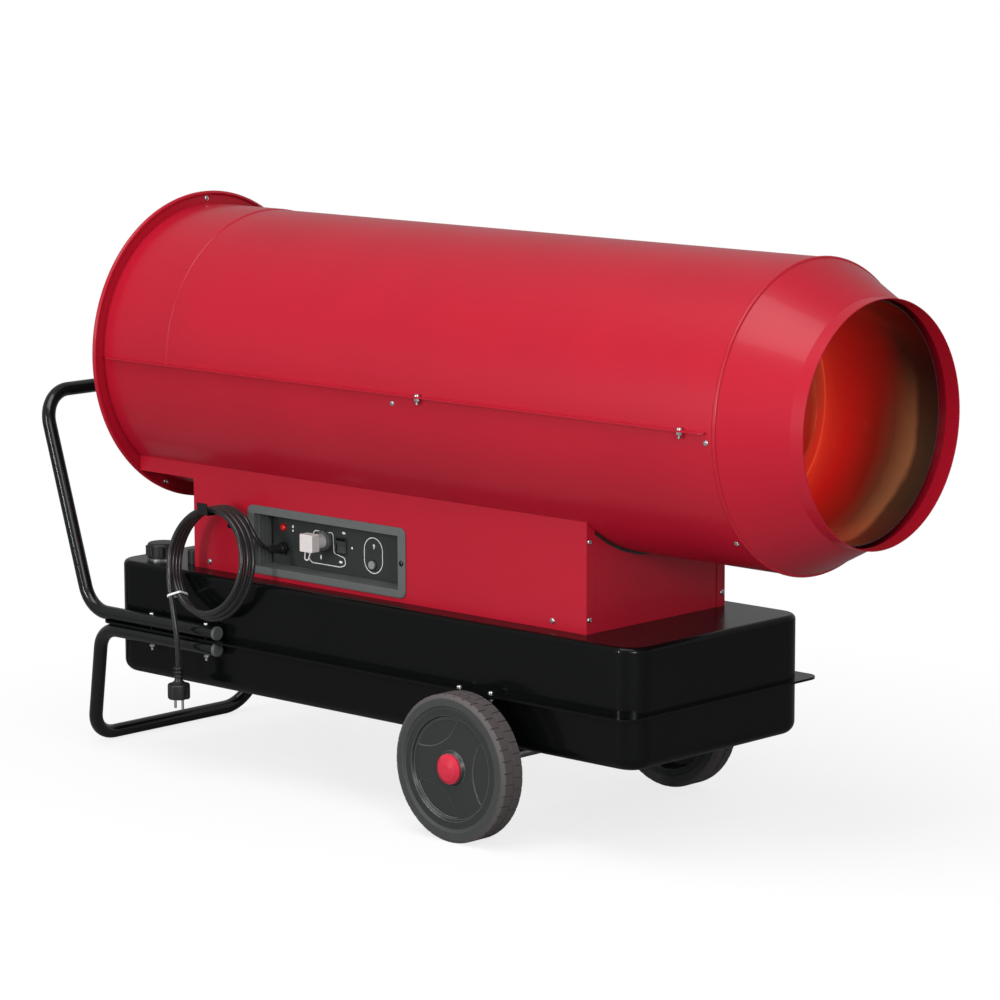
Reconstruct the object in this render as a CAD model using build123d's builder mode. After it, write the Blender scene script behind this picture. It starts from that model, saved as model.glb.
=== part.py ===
# Direct-fired forced air heater: a barrel with a fan and a burner over a wheeled fuel tank.
# Millimetres. X runs along the barrel towards the outlet, Z is up, and Z = 0 is the floor.
# The control panel is on the -Y side. X = 0 and Y = 0 are the middle of the object.
from build123d import *

import os
from math import atan2, cos, degrees, pi, radians, sin, sqrt, tan

# Barrel
barrel_radius = 255.0
barrel_rear = -674.0
barrel_length = 1416.0
barrel_sheet = 1.5
axis_height = 731.0
seam_lip_width = 12.0
seam_lip_inset = 12.0
joggle_from_rear = 167.0
joggle_step = 1.5
pipe_hole_offset = 90.0
pipe_hole_clearance = 2.0
wall_gap = 0.5
arm_angles = (45.0, 135.0, 225.0, 315.0)

# Inlet ring and guard
ring_width = 24.5
ring_bead = 4.0
ring_screw_offset = 11.0
ring_screw_angles = (90.0, -65.4, -114.6)
collar_depth = 22.0
slip_gap = 0.2
guard_wire = 2.5
guard_rings = 6
guard_spokes = 4
guard_weld = 1.5

# Outlet cone
cone_length = 112.0
lip_radius = 200.2
lip_length = 25.0
cone_bead = 4.0
cone_fold = 0.9

# Combustion chamber
chamber_clearance = 4.2
chamber_sheet = 1.5
chamber_rear = -110.0
chamber_recess = 39.0
chamber_port_clearance = 8.0
stay_width = 26.0
stay_sheet = 3.0
stay_sink = 0.4
stay_from_rear = 60.0
stay_from_front = 120.0
baffle_radius = 128.0
baffle_from_front = 230.0
baffle_depth = 34.0
baffle_collar = 14.0

# Burner head
head_radius = 58.0
head_length = 150.0
head_wall = 2.0
head_behind_plate = 82.0
head_flange = 14.0
disc_from_front = 22.0
swirl_slots = 8
swirl_slot_length = 20.0
swirl_slot_width = 4.0
swirl_slot_radius = 37.5
nozzle_radius = 11.0
nozzle_behind_disc = 14.0
nozzle_past_disc = 10.0
nozzle_line_radius = 9.0
line_behind_head = 40.0
spider_from_rear = 12.0
spider_width = 4.0
spider_length = 8.0
electrode_radius = 3.0
electrode_clearance = 1.0
electrode_spread = 24.0
electrode_behind_head = 10.0
electrode_past_disc = 12.0
clamp_behind_disc = 60.0
clamp_length = 10.0
clamp_width = 5.0
clamp_thickness = 4.0

# Fan and motor
shaft_radius = 8.0
bearing_clearance = 0.05
fan_tip_gap = 14.5
fan_hub_radius = 46.0
fan_hub_length = 42.0
fan_rear = -606.0
fan_blades = 6
blade_thickness = 3.0
blade_chord_root = 46.8
blade_chord_tip = 97.5
blade_root_sink = 6.0
blade_pitch_root = 48.0
blade_pitch_tip = 24.0
motor_rear = -535.0
motor_length = 172.0
motor_radius = 70.0
motor_chamfer = 8.0
motor_fins = 24
fin_height = 6.0
fin_width = 3.0
fin_length = 57.0
fins_from_rear = 24.0
bracket_width = 34.0
bracket_sheet = 3.0
bracket_from_front = 16.0
shaft_behind_fan = 8.0
shaft_in_pump = 6.0
shaft_end_gap = 2.0
pump_gap = 6.0
pump_size = (64.0, 86.0, 92.0)
pump_corner = 10.0
pump_boss_radius = 27.0
valve_radius = 15.0
valve_height = 44.0
valve_neck_radius = 9.0
valve_neck_height = 8.0
filter_radius = 24.0
filter_height = 70.0
filter_foot_radius = 14.0
filter_foot_height = 10.0
filter_rounding = 6.0
pipe_radius = 4.0
pipe_bend = 14.0
port_below_axis = 22.0
delivery_offset = 24.0
delivery_straight = 15.0

# Tank
tank_front = 553.0
tank_length = 1250.0
tank_half_width = 218.5
tank_bottom = 153.6
tank_height = 204.6
tank_lower_depth = 92.4
tank_sheet = 2.0
tank_corner = 43.0
tank_edge_bottom = 22.0
tank_edge_top = 9.0
flange_side = 28.0
flange_end = 11.0
flange_corner = 25.0

# Base box
box_rear = -529.0
box_front = 411.5
box_half_width = 175.0
box_sheet = 1.5
box_fold = 20.0
wing_height = 28.0
trim_depth = 4.0
trim_width = 7.0
side_screw_above_tank = 14.0
side_screw_from_rear = 40.0
side_screw_from_front = 75.5
front_screw_above_tank = 24.0
front_screw_below_top = 34.0
front_screw_inset = 7.0

# Ignition transformer and burner control inside the base
transformer_size = (110.0, 78.0, 80.0)
transformer_left = -180.0
transformer_above_tank = 24.0
transformer_corner = 8.0
terminal_radius = 7.0
terminal_length = 22.0
terminal_inset = 30.0
control_box_size = (100.0, 62.0, 76.0)
control_box_left = 20.0
control_box_above_tank = 20.0
control_box_chamfer = 4.0

# Control panel recess
bezel_right = 0.0
bezel_length = 388.0
bezel_height = 122.0
bezel_above_tank = 7.3
bezel_frame_side = 17.0
bezel_frame_end = 14.5
bezel_proud = 3.0
bezel_wall = 2.5
bezel_corner = 13.0
window_gap = 1.0
bezel_rounding = 1.8
recess_depth = 38.0
plate_thickness = 2.0
plate_gap = 0.5
bezel_ribs = 3
rib_width = 3.0
rib_depth = 2.5

# Things on the control plate: distance from the recess's left side, height above its floor
lamp_place = (33.0, 66.5)
gland_place = (33.0, 29.0)
socket_place = (135.0, 55.0)
switch_place = (177.0, 49.0)
reset_place = (253.5, 25.5)
lamp_radius = 7.0
lamp_proud = 5.6
lamp_body_radius = 4.9
lamp_depth = 12.0
gland_radius = 11.0
gland_length = 12.0
gland_depth = 10.0
gland_thread_step = 3.3
gland_nut_overhang = 1.5
gland_nut_height = 5.0
gland_dome_step = 1.65
gland_rounding = 3.0
socket_radius = 18.0
socket_height = 8.0
socket_body_radius = 14.4
socket_depth = 18.0
socket_chamfer = 1.5
plug_grip = 31.0
plug_grip_depth = 17.5
plug_grip_corner = 2.0
grip_grooves = (3.0, 7.0)
grip_groove_width = 1.5
grip_groove_depth = 1.0
plug_nose_radius = 13.0
plug_nose_length = 27.5
pin_radius = 2.4
pin_spread = 8.0
pin_length = 13.0
pin_root = 1.0
pin_hole_spare = 4.0
pin_clearance = 0.3
bypass_radius = 1.2
bypass_bend = 2.5
switch_width = 27.0
switch_height = 30.0
switch_proud = 2.5
rocker_gap = 0.6
rocker_end_gap = 1.8
rocker_tilt = 8.0
rocker_pin_radius = 2.0
rocker_back = 2.0
rocker_relief = 2.0
pivot_depth = 6.0
switch_depth = 20.0
switch_flange = 1.0
switch_chamfer = 1.0
housing_wall = 1.0
button_radius = 7.5
button_collar = 2.0
button_collar_proud = 1.5
button_proud = 5.0
button_rounding = 1.5
button_gap = 0.4
button_end_gap = 1.0
button_travel = 3.0
breaker_wall = 0.8
breaker_floor = 2.0
breaker_depth = 15.0

# Running gear
wheel_radius = 125.0
wheel_width = 50.0
wheel_beyond_tank = 30.5
tyre_wall = 23.0
tyre_bead_inset = 3.0
tyre_bead_rise = 4.0
tyre_shoulder = 7.0
tyre_shoulder_width = 5.0
tread_blocks = 40
tread_depth = 2.5
groove_width = 5.0
slot_width = 2.4
hub_inset = 3.0
hub_rim_width = 13.0
hub_dish = 5.0
hub_web = 5.0
hub_boss_radius = 24.0
hub_boss_inset = 2.0
hub_boss_step = 2.0
hub_boss_flare = 6.0
hub_rim_inset = 4.0
hub_rim_draft = 4.0
hub_dish_draft = 3.0
lens_inner = 47.0
lens_depth = 1.2
lens_margin = 6.0
lens_angles = (0.0, 120.0, 240.0)
cap_skirt = 4.0
cap_clearance = 0.3
hub_bore_clearance = 0.05
axle_radius = 10.0
axle_x = 217.0
cap_radius = 25.5
cap_proud = 8.0
cap_shoulder_proud = 5.6
cap_shoulder_radius = 18.9
cap_flat_radius = 8.9
bracket_plate = 3.0
bracket_length = 110.0
bracket_bolt_spread = 36.0
bracket_below_axle = 10.0

# Tubes of the handle and the leg
tube_radius = 12.5
tube_wall = 2.0
tube_beyond_tank = 16.1
tube_on_tank = 285.0
tube_bend = 60.0
tube_bolts_on_tank = (118.0, 260.0)
handle_corner_behind_tank = 48.0
handle_top_behind_tank = 169.5
handle_top_z = 648.0
leg_corner_behind_tank = 17.5
leg_foot_behind_tank = 97.0
leg_foot_draw = 46.1
end_cap_thickness = 6.0
end_cap_plug = 14.0
end_cap_chamfer = 1.2

# Fuel fittings
filler_from_corner = (67.0, 58.5)
neck_radius = 22.0
neck_height = 12.0
neck_depth = 26.0
neck_wall = 2.5
neck_flange = 6.0
neck_flange_thickness = 3.0
cap_skirt_radius = 31.0
cap_height = 27.0
cap_wall = 3.0
cap_rounding = 5.0
cap_lobes = 8
lobe_radius = 5.0
lobe_start = 4.0
lobe_height = 17.0
cap_gap = 0.5
seal_thickness = 3.0
seal_overlap = 2.0
seal_clearance = 0.3
gauge_from_corner = (141.0, 68.5)
gauge_radius = 13.0
gauge_height = 25.0
gauge_rounding = 3.0
gauge_stem_radius = 5.0
gauge_stem_above_floor = 14.0
gauge_stop_height = 3.0
gauge_stop_flange = 4.0
float_radius = 14.0
float_height = 22.0
float_gap = 0.4

# Supply cord
cord_radius = 4.75
coil_start = -20.0
coil_end = 1180.0
coil_first_radius = 98.0
coil_shrink = 3.0
coil_pitch = 11.0
coil_x = -420.0
coil_hang = 480.0
coil_back = -200.0
coil_lean = 0.19
lead_straight = 14.0
tail_straight = 26.0
tie_width = 3.5
tie_wall = 1.2
tie_gap = 0.9
tie_angle = 854.0
tie_place = 0.275
tied_loops = 3
plug_top = 198.0
relief_length = 32.0
relief_radius = 9.5
relief_core_radius = 6.84
relief_ribs = 4
relief_first_rib = 3.0
relief_pitch = 5.0
relief_rib_width = 2.5
plug_body_radius = 20.0
plug_body_height = 26.0
plug_shoulder = 3.0
plug_cone_height = 10.7
plug_notch_radius = 7.0
plug_notch_outset = 3.0
plug_notch_height = 20.8
plug_pin_root = 2.0
plug_pin_radius = 2.4
plug_pin_length = 19.0
plug_pin_spread = 9.5
hook_x = -427.0
hook_width = 25.0
hook_sheet = 2.0
hook_tip_height = 20.0
hook_reach = 72.0
hook_root = 34.0
hook_screw_drop = 20.4
hook_tip_lean = 3.0
hook_bend = 2.5
hook_clearance = 0.4
arc_share = 0.45
small_turn = 0.01
sample_step = 4

# Fasteners
bolt_radius = 3.0
bolt_head_radius = 5.0
bolt_head_height = 4.0
nut_height = 5.0
bolt_tip = 6.0
screw_head_radius = 5.0
screw_head_height = 2.2
screw_shank_radius = 2.0
seam_bolt_x = (112.0, 682.0)
screw_length = 8.0
seam_screw_x = 48.0
seam_screw_turn = 3.7
cone_screw_inset = 12.0
cone_screw_angles = (-3.5, -46.0, -90.0, -134.0, -176.5)
cut_over = 1.0
hole_reach = 5.0

# Places that follow from the sizes above
barrel_front = barrel_rear + barrel_length
shell_inner = barrel_radius - barrel_sheet
ring_radius = barrel_radius + ring_width
ring_screw_radius = barrel_radius + ring_screw_offset
fan_radius = shell_inner - fan_tip_gap
cone_front = barrel_front + cone_length
lip_front = cone_front + lip_length
chamber_front = lip_front - chamber_recess
chamber_radius = lip_radius - chamber_clearance
chamber_port_radius = head_radius + chamber_port_clearance
tank_rear = tank_front - tank_length
tank_top = tank_bottom + tank_height
tank_seam = tank_bottom + tank_lower_depth
filler_place = (tank_rear + filler_from_corner[0], filler_from_corner[1] - tank_half_width)
gauge_place = (tank_rear + gauge_from_corner[0], gauge_from_corner[1] - tank_half_width)
box_seat = sqrt(barrel_radius**2 - box_half_width**2)
box_top = axis_height - box_seat
bezel_left = bezel_right - bezel_length
bezel_low = tank_top + bezel_above_tank
bezel_top = bezel_low + bezel_height
recess_left = bezel_left + bezel_frame_side
recess_right = bezel_right - bezel_frame_side
recess_low = bezel_low + bezel_frame_end
recess_top = bezel_top - bezel_frame_end
plate_face = -box_half_width + recess_depth
tube_offset = tank_half_width + tube_beyond_tank
tube_front = tank_rear + tube_on_tank
tube_bolt_x = [tank_rear + distance for distance in tube_bolts_on_tank]
handle_z = tank_seam + tank_sheet + tube_radius
leg_z = tank_seam - tank_sheet - tube_radius
wheel_inner_face = tank_half_width + wheel_beyond_tank
wheel_outer_face = wheel_inner_face + wheel_width
motor_front = motor_rear + motor_length
pump_rear = motor_front + pump_gap
hook_face = -box_half_width
hook_drop = coil_first_radius - sqrt(coil_first_radius**2 - (hook_width / 2 + coil_x - hook_x) ** 2)
arm_top = coil_hang - cord_radius - hook_drop - hook_clearance
hook_screw = (hook_x, arm_top - hook_screw_drop)
bezel_middle = bezel_low + bezel_height / 2
bezel_screws = (
    (bezel_left + bezel_frame_side / 2, bezel_middle),
    (bezel_right - bezel_frame_side / 2, bezel_middle),
)

barrel_axis = Axis((0, 0, axis_height), (1, 0, 0))
barrel_plane = Plane(origin=(0, 0, axis_height), x_dir=(1, 0, 0), z_dir=(0, 0, 1))
os.makedirs("parts", exist_ok=True)


def keep(piece, node):
    # Labels a finished piece and writes it under its own name.
    piece.part.label = node
    export_step(piece.part, f"parts/{node}.step")


def rod(start, end, radius, mode=Mode.ADD):
    # A round bar between two points.
    along = Vector(*end) - Vector(*start)
    with Locations(Plane(origin=start, z_dir=along)):
        Cylinder(radius, along.length, align=(Align.CENTER, Align.CENTER, Align.MIN), mode=mode)


def block(low, high, mode=Mode.ADD):
    # A box between two corners.
    size = [top - bottom for bottom, top in zip(low, high)]
    middle = [(top + bottom) / 2 for bottom, top in zip(low, high)]
    with Locations(tuple(middle)):
        Box(*size, mode=mode)


def turned(outline, arc=360, side=1, mode=Mode.ADD):
    # A profile of (x, radius) points turned about the barrel's axis. A half turn from
    # side +1 covers the upper half, and one from side -1 the lower half.
    with BuildSketch(barrel_plane) as profile:
        with BuildLine():
            Polyline([(x, side * r) for x, r in outline], close=True)
        make_face()
    revolve(profile.sketch, axis=barrel_axis, revolution_arc=arc, mode=mode)


def on_barrel(x, radius, angle):
    # A point at an angle about the barrel's axis: 0 is the near side, 90 the top.
    return (x, -radius * cos(radians(angle)), axis_height + radius * sin(radians(angle)))


def plate_point(place, proud=0.0):
    # A point on the control plate, or that far in front of it.
    return (recess_left + place[0], plate_face - proud, recess_low + place[1])


def route(points, radii):
    # A path of straight runs with an arc at each corner.
    with BuildLine() as line:
        FilletPolyline(*points, radius=radii)
    return line.wires()[0]


def swept(path, radius, wall=0.0):
    # A round bar, or a tube, along a path.
    with BuildSketch(Plane(origin=path @ 0, z_dir=path % 0)) as section:
        Circle(radius)
        if wall:
            Circle(radius - wall, mode=Mode.SUBTRACT)
    sweep(section.sketch, path=path)


# Upper cover and lower shell

lip_reach = barrel_radius + seam_lip_width
lip_rear = barrel_rear + seam_lip_inset
lip_end = barrel_front - seam_lip_inset


def seam_lips(below, above):
    # The two folded edges that meet along the seam, with clipped corners.
    for side in (-1, 1):
        with BuildSketch(Plane.XY.offset(below)) as lip:
            with BuildLine():
                Polyline(
                    (lip_rear, side * shell_inner),
                    (lip_rear, side * (lip_reach - seam_lip_width / 2)),
                    (lip_rear + seam_lip_width / 2, side * lip_reach),
                    (lip_end - seam_lip_width / 2, side * lip_reach),
                    (lip_end, side * (lip_reach - seam_lip_width / 2)),
                    (lip_end, side * shell_inner),
                    close=True,
                )
            make_face()
        extrude(lip.sketch, amount=above - below)
        for x in seam_bolt_x:
            middle = side * (barrel_radius + seam_lip_width / 2)
            rod((x, middle, below), (x, middle, above), bolt_radius + slip_gap, Mode.SUBTRACT)


def barrel_screw_hole(x, angle):
    # A screw hole through the barrel and what lies inside it.
    low = on_barrel(x, shell_inner - hole_reach - cone_bead, angle)
    high = on_barrel(x, barrel_radius + hole_reach, angle)
    rod(low, high, screw_shank_radius + slip_gap, Mode.SUBTRACT)


cone_screw_x = barrel_front - cone_screw_inset
seam_screw_angles = (-seam_screw_turn, 180 + seam_screw_turn)
pipe_hole_x = pump_rear + pump_size[0] / 2

joggle_x = barrel_rear + joggle_from_rear
with BuildPart() as upper_cover:
    turned(
        [
            (barrel_rear, shell_inner),
            (barrel_rear, barrel_radius + joggle_step),
            (joggle_x - joggle_step, barrel_radius + joggle_step),
            (joggle_x, barrel_radius),
            (barrel_front, barrel_radius),
            (barrel_front, shell_inner),
        ],
        arc=180,
    )
    seam_lips(axis_height, axis_height + barrel_sheet)
keep(upper_cover, "upper_cover")

with BuildPart() as lower_shell:
    turned(
        [
            (barrel_rear, shell_inner),
            (barrel_rear, barrel_radius),
            (barrel_front, barrel_radius),
            (barrel_front, shell_inner),
        ],
        arc=180,
        side=-1,
    )
    seam_lips(axis_height - barrel_sheet, axis_height)
    for angle in cone_screw_angles:
        barrel_screw_hole(cone_screw_x, angle)
    for angle in seam_screw_angles:
        barrel_screw_hole(seam_screw_x, angle)
    for side in (-1, 1):
        rod(
            (pipe_hole_x, side * pipe_hole_offset, axis_height - barrel_radius),
            (pipe_hole_x, side * pipe_hole_offset, axis_height - barrel_radius / 2),
            pipe_radius + pipe_hole_clearance,
            Mode.SUBTRACT,
        )
keep(lower_shell, "lower_shell")

# Inlet ring: a plate with a rolled rim and a collar that slips into the barrel

collar_radius = shell_inner - slip_gap
with BuildPart() as inlet_ring:
    turned(
        [
            (barrel_rear - barrel_sheet, collar_radius - barrel_sheet),
            (barrel_rear - barrel_sheet, ring_radius - ring_bead),
            (barrel_rear, ring_radius - ring_bead),
            (barrel_rear, collar_radius),
            (barrel_rear + collar_depth, collar_radius),
            (barrel_rear + collar_depth, collar_radius - barrel_sheet),
        ]
    )
    with BuildSketch(barrel_plane) as rim:
        with Locations((barrel_rear - barrel_sheet / 2, ring_radius - ring_bead)):
            Circle(ring_bead)
    revolve(rim.sketch, axis=barrel_axis)
    for angle in ring_screw_angles:
        low = on_barrel(barrel_rear - hole_reach, ring_screw_radius, angle)
        high = on_barrel(barrel_rear + hole_reach, ring_screw_radius, angle)
        rod(low, high, screw_shank_radius + slip_gap, Mode.SUBTRACT)
keep(inlet_ring, "inlet_ring")

# Inlet guard: wire rings on crossed spokes, held on the ring's rear face

guard_x = barrel_rear - barrel_sheet - guard_wire
guard_reach = ring_screw_radius - screw_head_radius - guard_wire
spoke_x = guard_x - 2 * guard_wire + guard_weld
with BuildPart() as inlet_guard:
    for index in range(1, guard_rings + 1):
        with BuildSketch(barrel_plane) as wire:
            with Locations((guard_x, guard_reach * index / guard_rings)):
                Circle(guard_wire)
        revolve(wire.sketch, axis=barrel_axis)
    for index in range(guard_spokes):
        turn = 180.0 * (index + 0.5) / guard_spokes
        rod(
            on_barrel(spoke_x, guard_reach, turn),
            on_barrel(spoke_x, -guard_reach, turn),
            guard_wire,
        )
keep(inlet_guard, "inlet_guard")

# Outlet cone: collar, rounded bead, cone and duct lip in one spinning

bead_x = barrel_front + cone_bead
with BuildPart() as outlet_cone:
    turned(
        [
            (barrel_front - collar_depth, collar_radius - barrel_sheet),
            (barrel_front - collar_depth, collar_radius),
            (barrel_front, collar_radius),
            (bead_x, collar_radius + slip_gap),
            (bead_x + cone_bead, collar_radius + slip_gap),
            (cone_front, lip_radius),
            (lip_front, lip_radius),
            (lip_front, lip_radius - barrel_sheet),
            (cone_front - cone_fold, lip_radius - barrel_sheet),
            (bead_x, collar_radius - barrel_sheet),
        ]
    )
    with BuildSketch(barrel_plane) as bead:
        with Locations((bead_x, collar_radius)):
            Circle(cone_bead)
        with Locations((bead_x, collar_radius)):
            Circle(cone_bead - barrel_sheet, mode=Mode.SUBTRACT)
    revolve(bead.sketch, axis=barrel_axis)
    for angle in cone_screw_angles:
        barrel_screw_hole(cone_screw_x, angle)
keep(outlet_cone, "outlet_cone")

# Combustion chamber: a stainless drum with a pierced rear plate, on stays to the shell

stay_stations = (
    chamber_rear + stay_from_rear,
    (chamber_rear + barrel_front) / 2,
    barrel_front - stay_from_front,
)
stay_inner = chamber_radius - stay_sink
stay_outer = shell_inner - wall_gap
with BuildPart() as combustion_chamber:
    turned(
        [
            (chamber_rear, chamber_port_radius),
            (chamber_rear, chamber_radius),
            (chamber_front, chamber_radius),
            (chamber_front, chamber_radius - chamber_sheet),
            (chamber_rear + chamber_sheet, chamber_radius - chamber_sheet),
            (chamber_rear + chamber_sheet, chamber_port_radius),
        ]
    )
    for station in stay_stations:
        for angle in arm_angles:
            with BuildSketch(Plane.YZ.offset(station)) as stay:
                with Locations(Location((0, axis_height), angle)):
                    with Locations(((stay_inner + stay_outer) / 2, 0)):
                        Rectangle(stay_outer - stay_inner, stay_sheet)
            extrude(stay.sketch, amount=stay_width)
keep(combustion_chamber, "combustion_chamber")

# Flame baffle: a conical ring inside the drum that turns the flame inwards

baffle_front = chamber_front - baffle_from_front
baffle_rim = chamber_radius - chamber_sheet - slip_gap
with BuildPart() as flame_baffle:
    turned(
        [
            (baffle_front - baffle_collar, baffle_rim - chamber_sheet),
            (baffle_front - baffle_collar, baffle_rim),
            (baffle_front, baffle_rim),
            (baffle_front + baffle_depth, baffle_radius + chamber_sheet),
            (baffle_front + baffle_depth, baffle_radius),
            (baffle_front - chamber_sheet, baffle_rim - chamber_sheet),
        ]
    )
keep(flame_baffle, "flame_baffle")

# Burner head: a flanged tube through the rear plate with a slotted swirl disc

head_rear = chamber_rear - head_behind_plate
head_front = head_rear + head_length
disc_x = head_front - disc_from_front
with BuildPart() as burner_head:
    turned(
        [
            (head_rear, head_radius - head_wall),
            (head_rear, head_radius),
            (chamber_rear - head_wall, head_radius),
            (chamber_rear - head_wall, chamber_port_radius + head_flange),
            (chamber_rear, chamber_port_radius + head_flange),
            (chamber_rear, head_radius),
            (head_front, head_radius),
            (head_front, head_radius - head_wall),
        ]
    )
    turned(
        [
            (disc_x, nozzle_radius + slip_gap),
            (disc_x, head_radius - head_wall / 2),
            (disc_x + head_wall, head_radius - head_wall / 2),
            (disc_x + head_wall, nozzle_radius + slip_gap),
        ]
    )
    with BuildSketch(Plane.YZ.offset(disc_x - cut_over)) as slots:
        with Locations((0, axis_height)):
            with PolarLocations(swirl_slot_radius, swirl_slots):
                SlotOverall(swirl_slot_length, swirl_slot_width)
    extrude(slots.sketch, amount=head_wall + 2 * cut_over, mode=Mode.SUBTRACT)
    for side in (-1, 1):
        place = (side * electrode_spread / 2, axis_height + electrode_spread)
        rod(
            (disc_x - cut_over, *place),
            (disc_x + head_wall + cut_over, *place),
            electrode_radius + electrode_clearance,
            Mode.SUBTRACT,
        )
keep(burner_head, "burner_head")

# Nozzle line: the fuel tube on the axis, its nozzle and the spider that centres it

line_rear = head_rear - line_behind_head
nozzle_rear = disc_x - nozzle_behind_disc
spider_reach = head_radius - head_wall - slip_gap
with BuildPart() as nozzle_line:
    rod((line_rear, 0, axis_height), (nozzle_rear, 0, axis_height), nozzle_line_radius)
    rod((nozzle_rear, 0, axis_height), (disc_x + nozzle_past_disc, 0, axis_height), nozzle_radius)
    for angle in (90.0, 210.0, 330.0):
        with BuildSketch(Plane.YZ.offset(head_rear + spider_from_rear)) as arm:
            with Locations(Location((0, axis_height), angle)):
                with Locations((spider_reach / 2, 0)):
                    Rectangle(spider_reach, spider_width)
        extrude(arm.sketch, amount=spider_length)
keep(nozzle_line, "nozzle_line")

# Ignition electrodes: two ceramic rods with a clamp each on the nozzle line

clamp_rear = disc_x - clamp_behind_disc
clamp_front = clamp_rear + clamp_length
clamp_low = axis_height + nozzle_line_radius
with BuildPart() as ignition_electrodes:
    for side in (-1, 1):
        place_y = side * electrode_spread / 2
        place_z = axis_height + electrode_spread
        rod(
            (head_rear - electrode_behind_head, place_y, place_z),
            (disc_x + electrode_past_disc, place_y, place_z),
            electrode_radius,
        )
        block(
            (clamp_rear, place_y - clamp_width / 2, clamp_low - cut_over),
            (clamp_front, place_y + clamp_width / 2, place_z),
        )
    block(
        (clamp_rear, -electrode_spread / 2, clamp_low + slip_gap),
        (clamp_front, electrode_spread / 2, clamp_low + clamp_thickness),
    )
    rod(
        (clamp_rear - cut_over, 0, axis_height),
        (clamp_front + cut_over, 0, axis_height),
        nozzle_line_radius + slip_gap,
        Mode.SUBTRACT,
    )
keep(ignition_electrodes, "ignition_electrodes")

# Fan: hub and twisted blades on the motor's shaft

fan_middle = fan_rear + fan_hub_length / 2


def blade_section(radius, pitch, turn):
    # One end of a blade: a thin rectangle across the blade's radius, turned to its pitch.
    outward = Vector(0, -cos(radians(turn)), sin(radians(turn)))
    across = Vector(0, sin(radians(turn)), cos(radians(turn)))
    chord = Vector(sin(radians(pitch)), 0, 0) + across * cos(radians(pitch))
    origin = Vector(fan_middle, 0, axis_height) + outward * radius
    return Plane(origin=origin, x_dir=chord, z_dir=outward)


with BuildPart() as fan_impeller:
    rod((fan_rear, 0, axis_height), (fan_rear + fan_hub_length, 0, axis_height), fan_hub_radius)
    for index in range(fan_blades):
        turn = 360.0 * index / fan_blades
        root_plane = blade_section(fan_hub_radius - blade_root_sink, blade_pitch_root, turn)
        with BuildSketch(root_plane) as root:
            Rectangle(blade_chord_root, blade_thickness)
        with BuildSketch(blade_section(fan_radius, blade_pitch_tip, turn)) as tip:
            Rectangle(blade_chord_tip, blade_thickness)
        loft([root.sketch.faces()[0], tip.sketch.faces()[0]])
    rod(
        (fan_rear - cut_over, 0, axis_height),
        (fan_rear + fan_hub_length + cut_over, 0, axis_height),
        shaft_radius,
        Mode.SUBTRACT,
    )
keep(fan_impeller, "fan_impeller")

with BuildPart() as motor_shaft:
    rod(
        (fan_rear - shaft_behind_fan, 0, axis_height),
        (pump_rear + shaft_in_pump, 0, axis_height),
        shaft_radius,
    )
keep(motor_shaft, "motor_shaft")

with BuildPart() as motor_body:
    rod((motor_rear, 0, axis_height), (motor_front, 0, axis_height), motor_radius)
    chamfer(motor_body.edges().filter_by(GeomType.CIRCLE), motor_chamfer)
    with BuildSketch(Plane.YZ.offset(motor_rear + fins_from_rear)) as fins:
        with Locations((0, axis_height)):
            with PolarLocations(motor_radius, motor_fins):
                Rectangle(fin_height, fin_width)
    extrude(fins.sketch, amount=fin_length)
    rod(
        (motor_rear - cut_over, 0, axis_height),
        (motor_front + cut_over, 0, axis_height),
        shaft_radius + bearing_clearance,
        Mode.SUBTRACT,
    )
keep(motor_body, "motor_body")

# Motor bracket: a band round the motor's front half with four arms to the barrel

band_x = motor_front - bracket_width - bracket_from_front
band_radius = motor_radius + slip_gap
arm_inner = band_radius + bracket_sheet / 2
arm_outer = shell_inner - wall_gap
with BuildPart() as motor_bracket:
    turned(
        [
            (band_x, band_radius),
            (band_x, band_radius + bracket_sheet),
            (band_x + bracket_width, band_radius + bracket_sheet),
            (band_x + bracket_width, band_radius),
        ]
    )
    for angle in arm_angles:
        with BuildSketch(Plane.YZ.offset(band_x)) as arm:
            with Locations(Location((0, axis_height), angle)):
                with Locations(((arm_inner + arm_outer) / 2, 0)):
                    Rectangle(arm_outer - arm_inner, bracket_sheet)
        extrude(arm.sketch, amount=bracket_width)
keep(motor_bracket, "motor_bracket")

# Fuel pump with its shut-off valve on top

pump_front = pump_rear + pump_size[0]
valve_x = pump_rear + pump_size[0] / 2
valve_low = axis_height + pump_size[2] / 2
valve_neck_top = valve_low + valve_neck_height
with BuildPart() as fuel_pump:
    block(
        (pump_rear, -pump_size[1] / 2, axis_height - pump_size[2] / 2),
        (pump_front, pump_size[1] / 2, axis_height + pump_size[2] / 2),
    )
    fillet(fuel_pump.edges().filter_by(Axis.X), pump_corner)
    rod((motor_front, 0, axis_height), (pump_rear, 0, axis_height), pump_boss_radius)
    rod(
        (motor_front - cut_over, 0, axis_height),
        (pump_rear + shaft_in_pump + shaft_end_gap, 0, axis_height),
        shaft_radius + bearing_clearance,
        Mode.SUBTRACT,
    )
    rod((valve_x, 0, valve_low - cut_over), (valve_x, 0, valve_neck_top), valve_neck_radius)
    rod((valve_x, 0, valve_neck_top), (valve_x, 0, valve_low + valve_height), valve_radius)
keep(fuel_pump, "fuel_pump")

# Fuel filter: a bowl that stands on the tank below the barrel's suction hole

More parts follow.
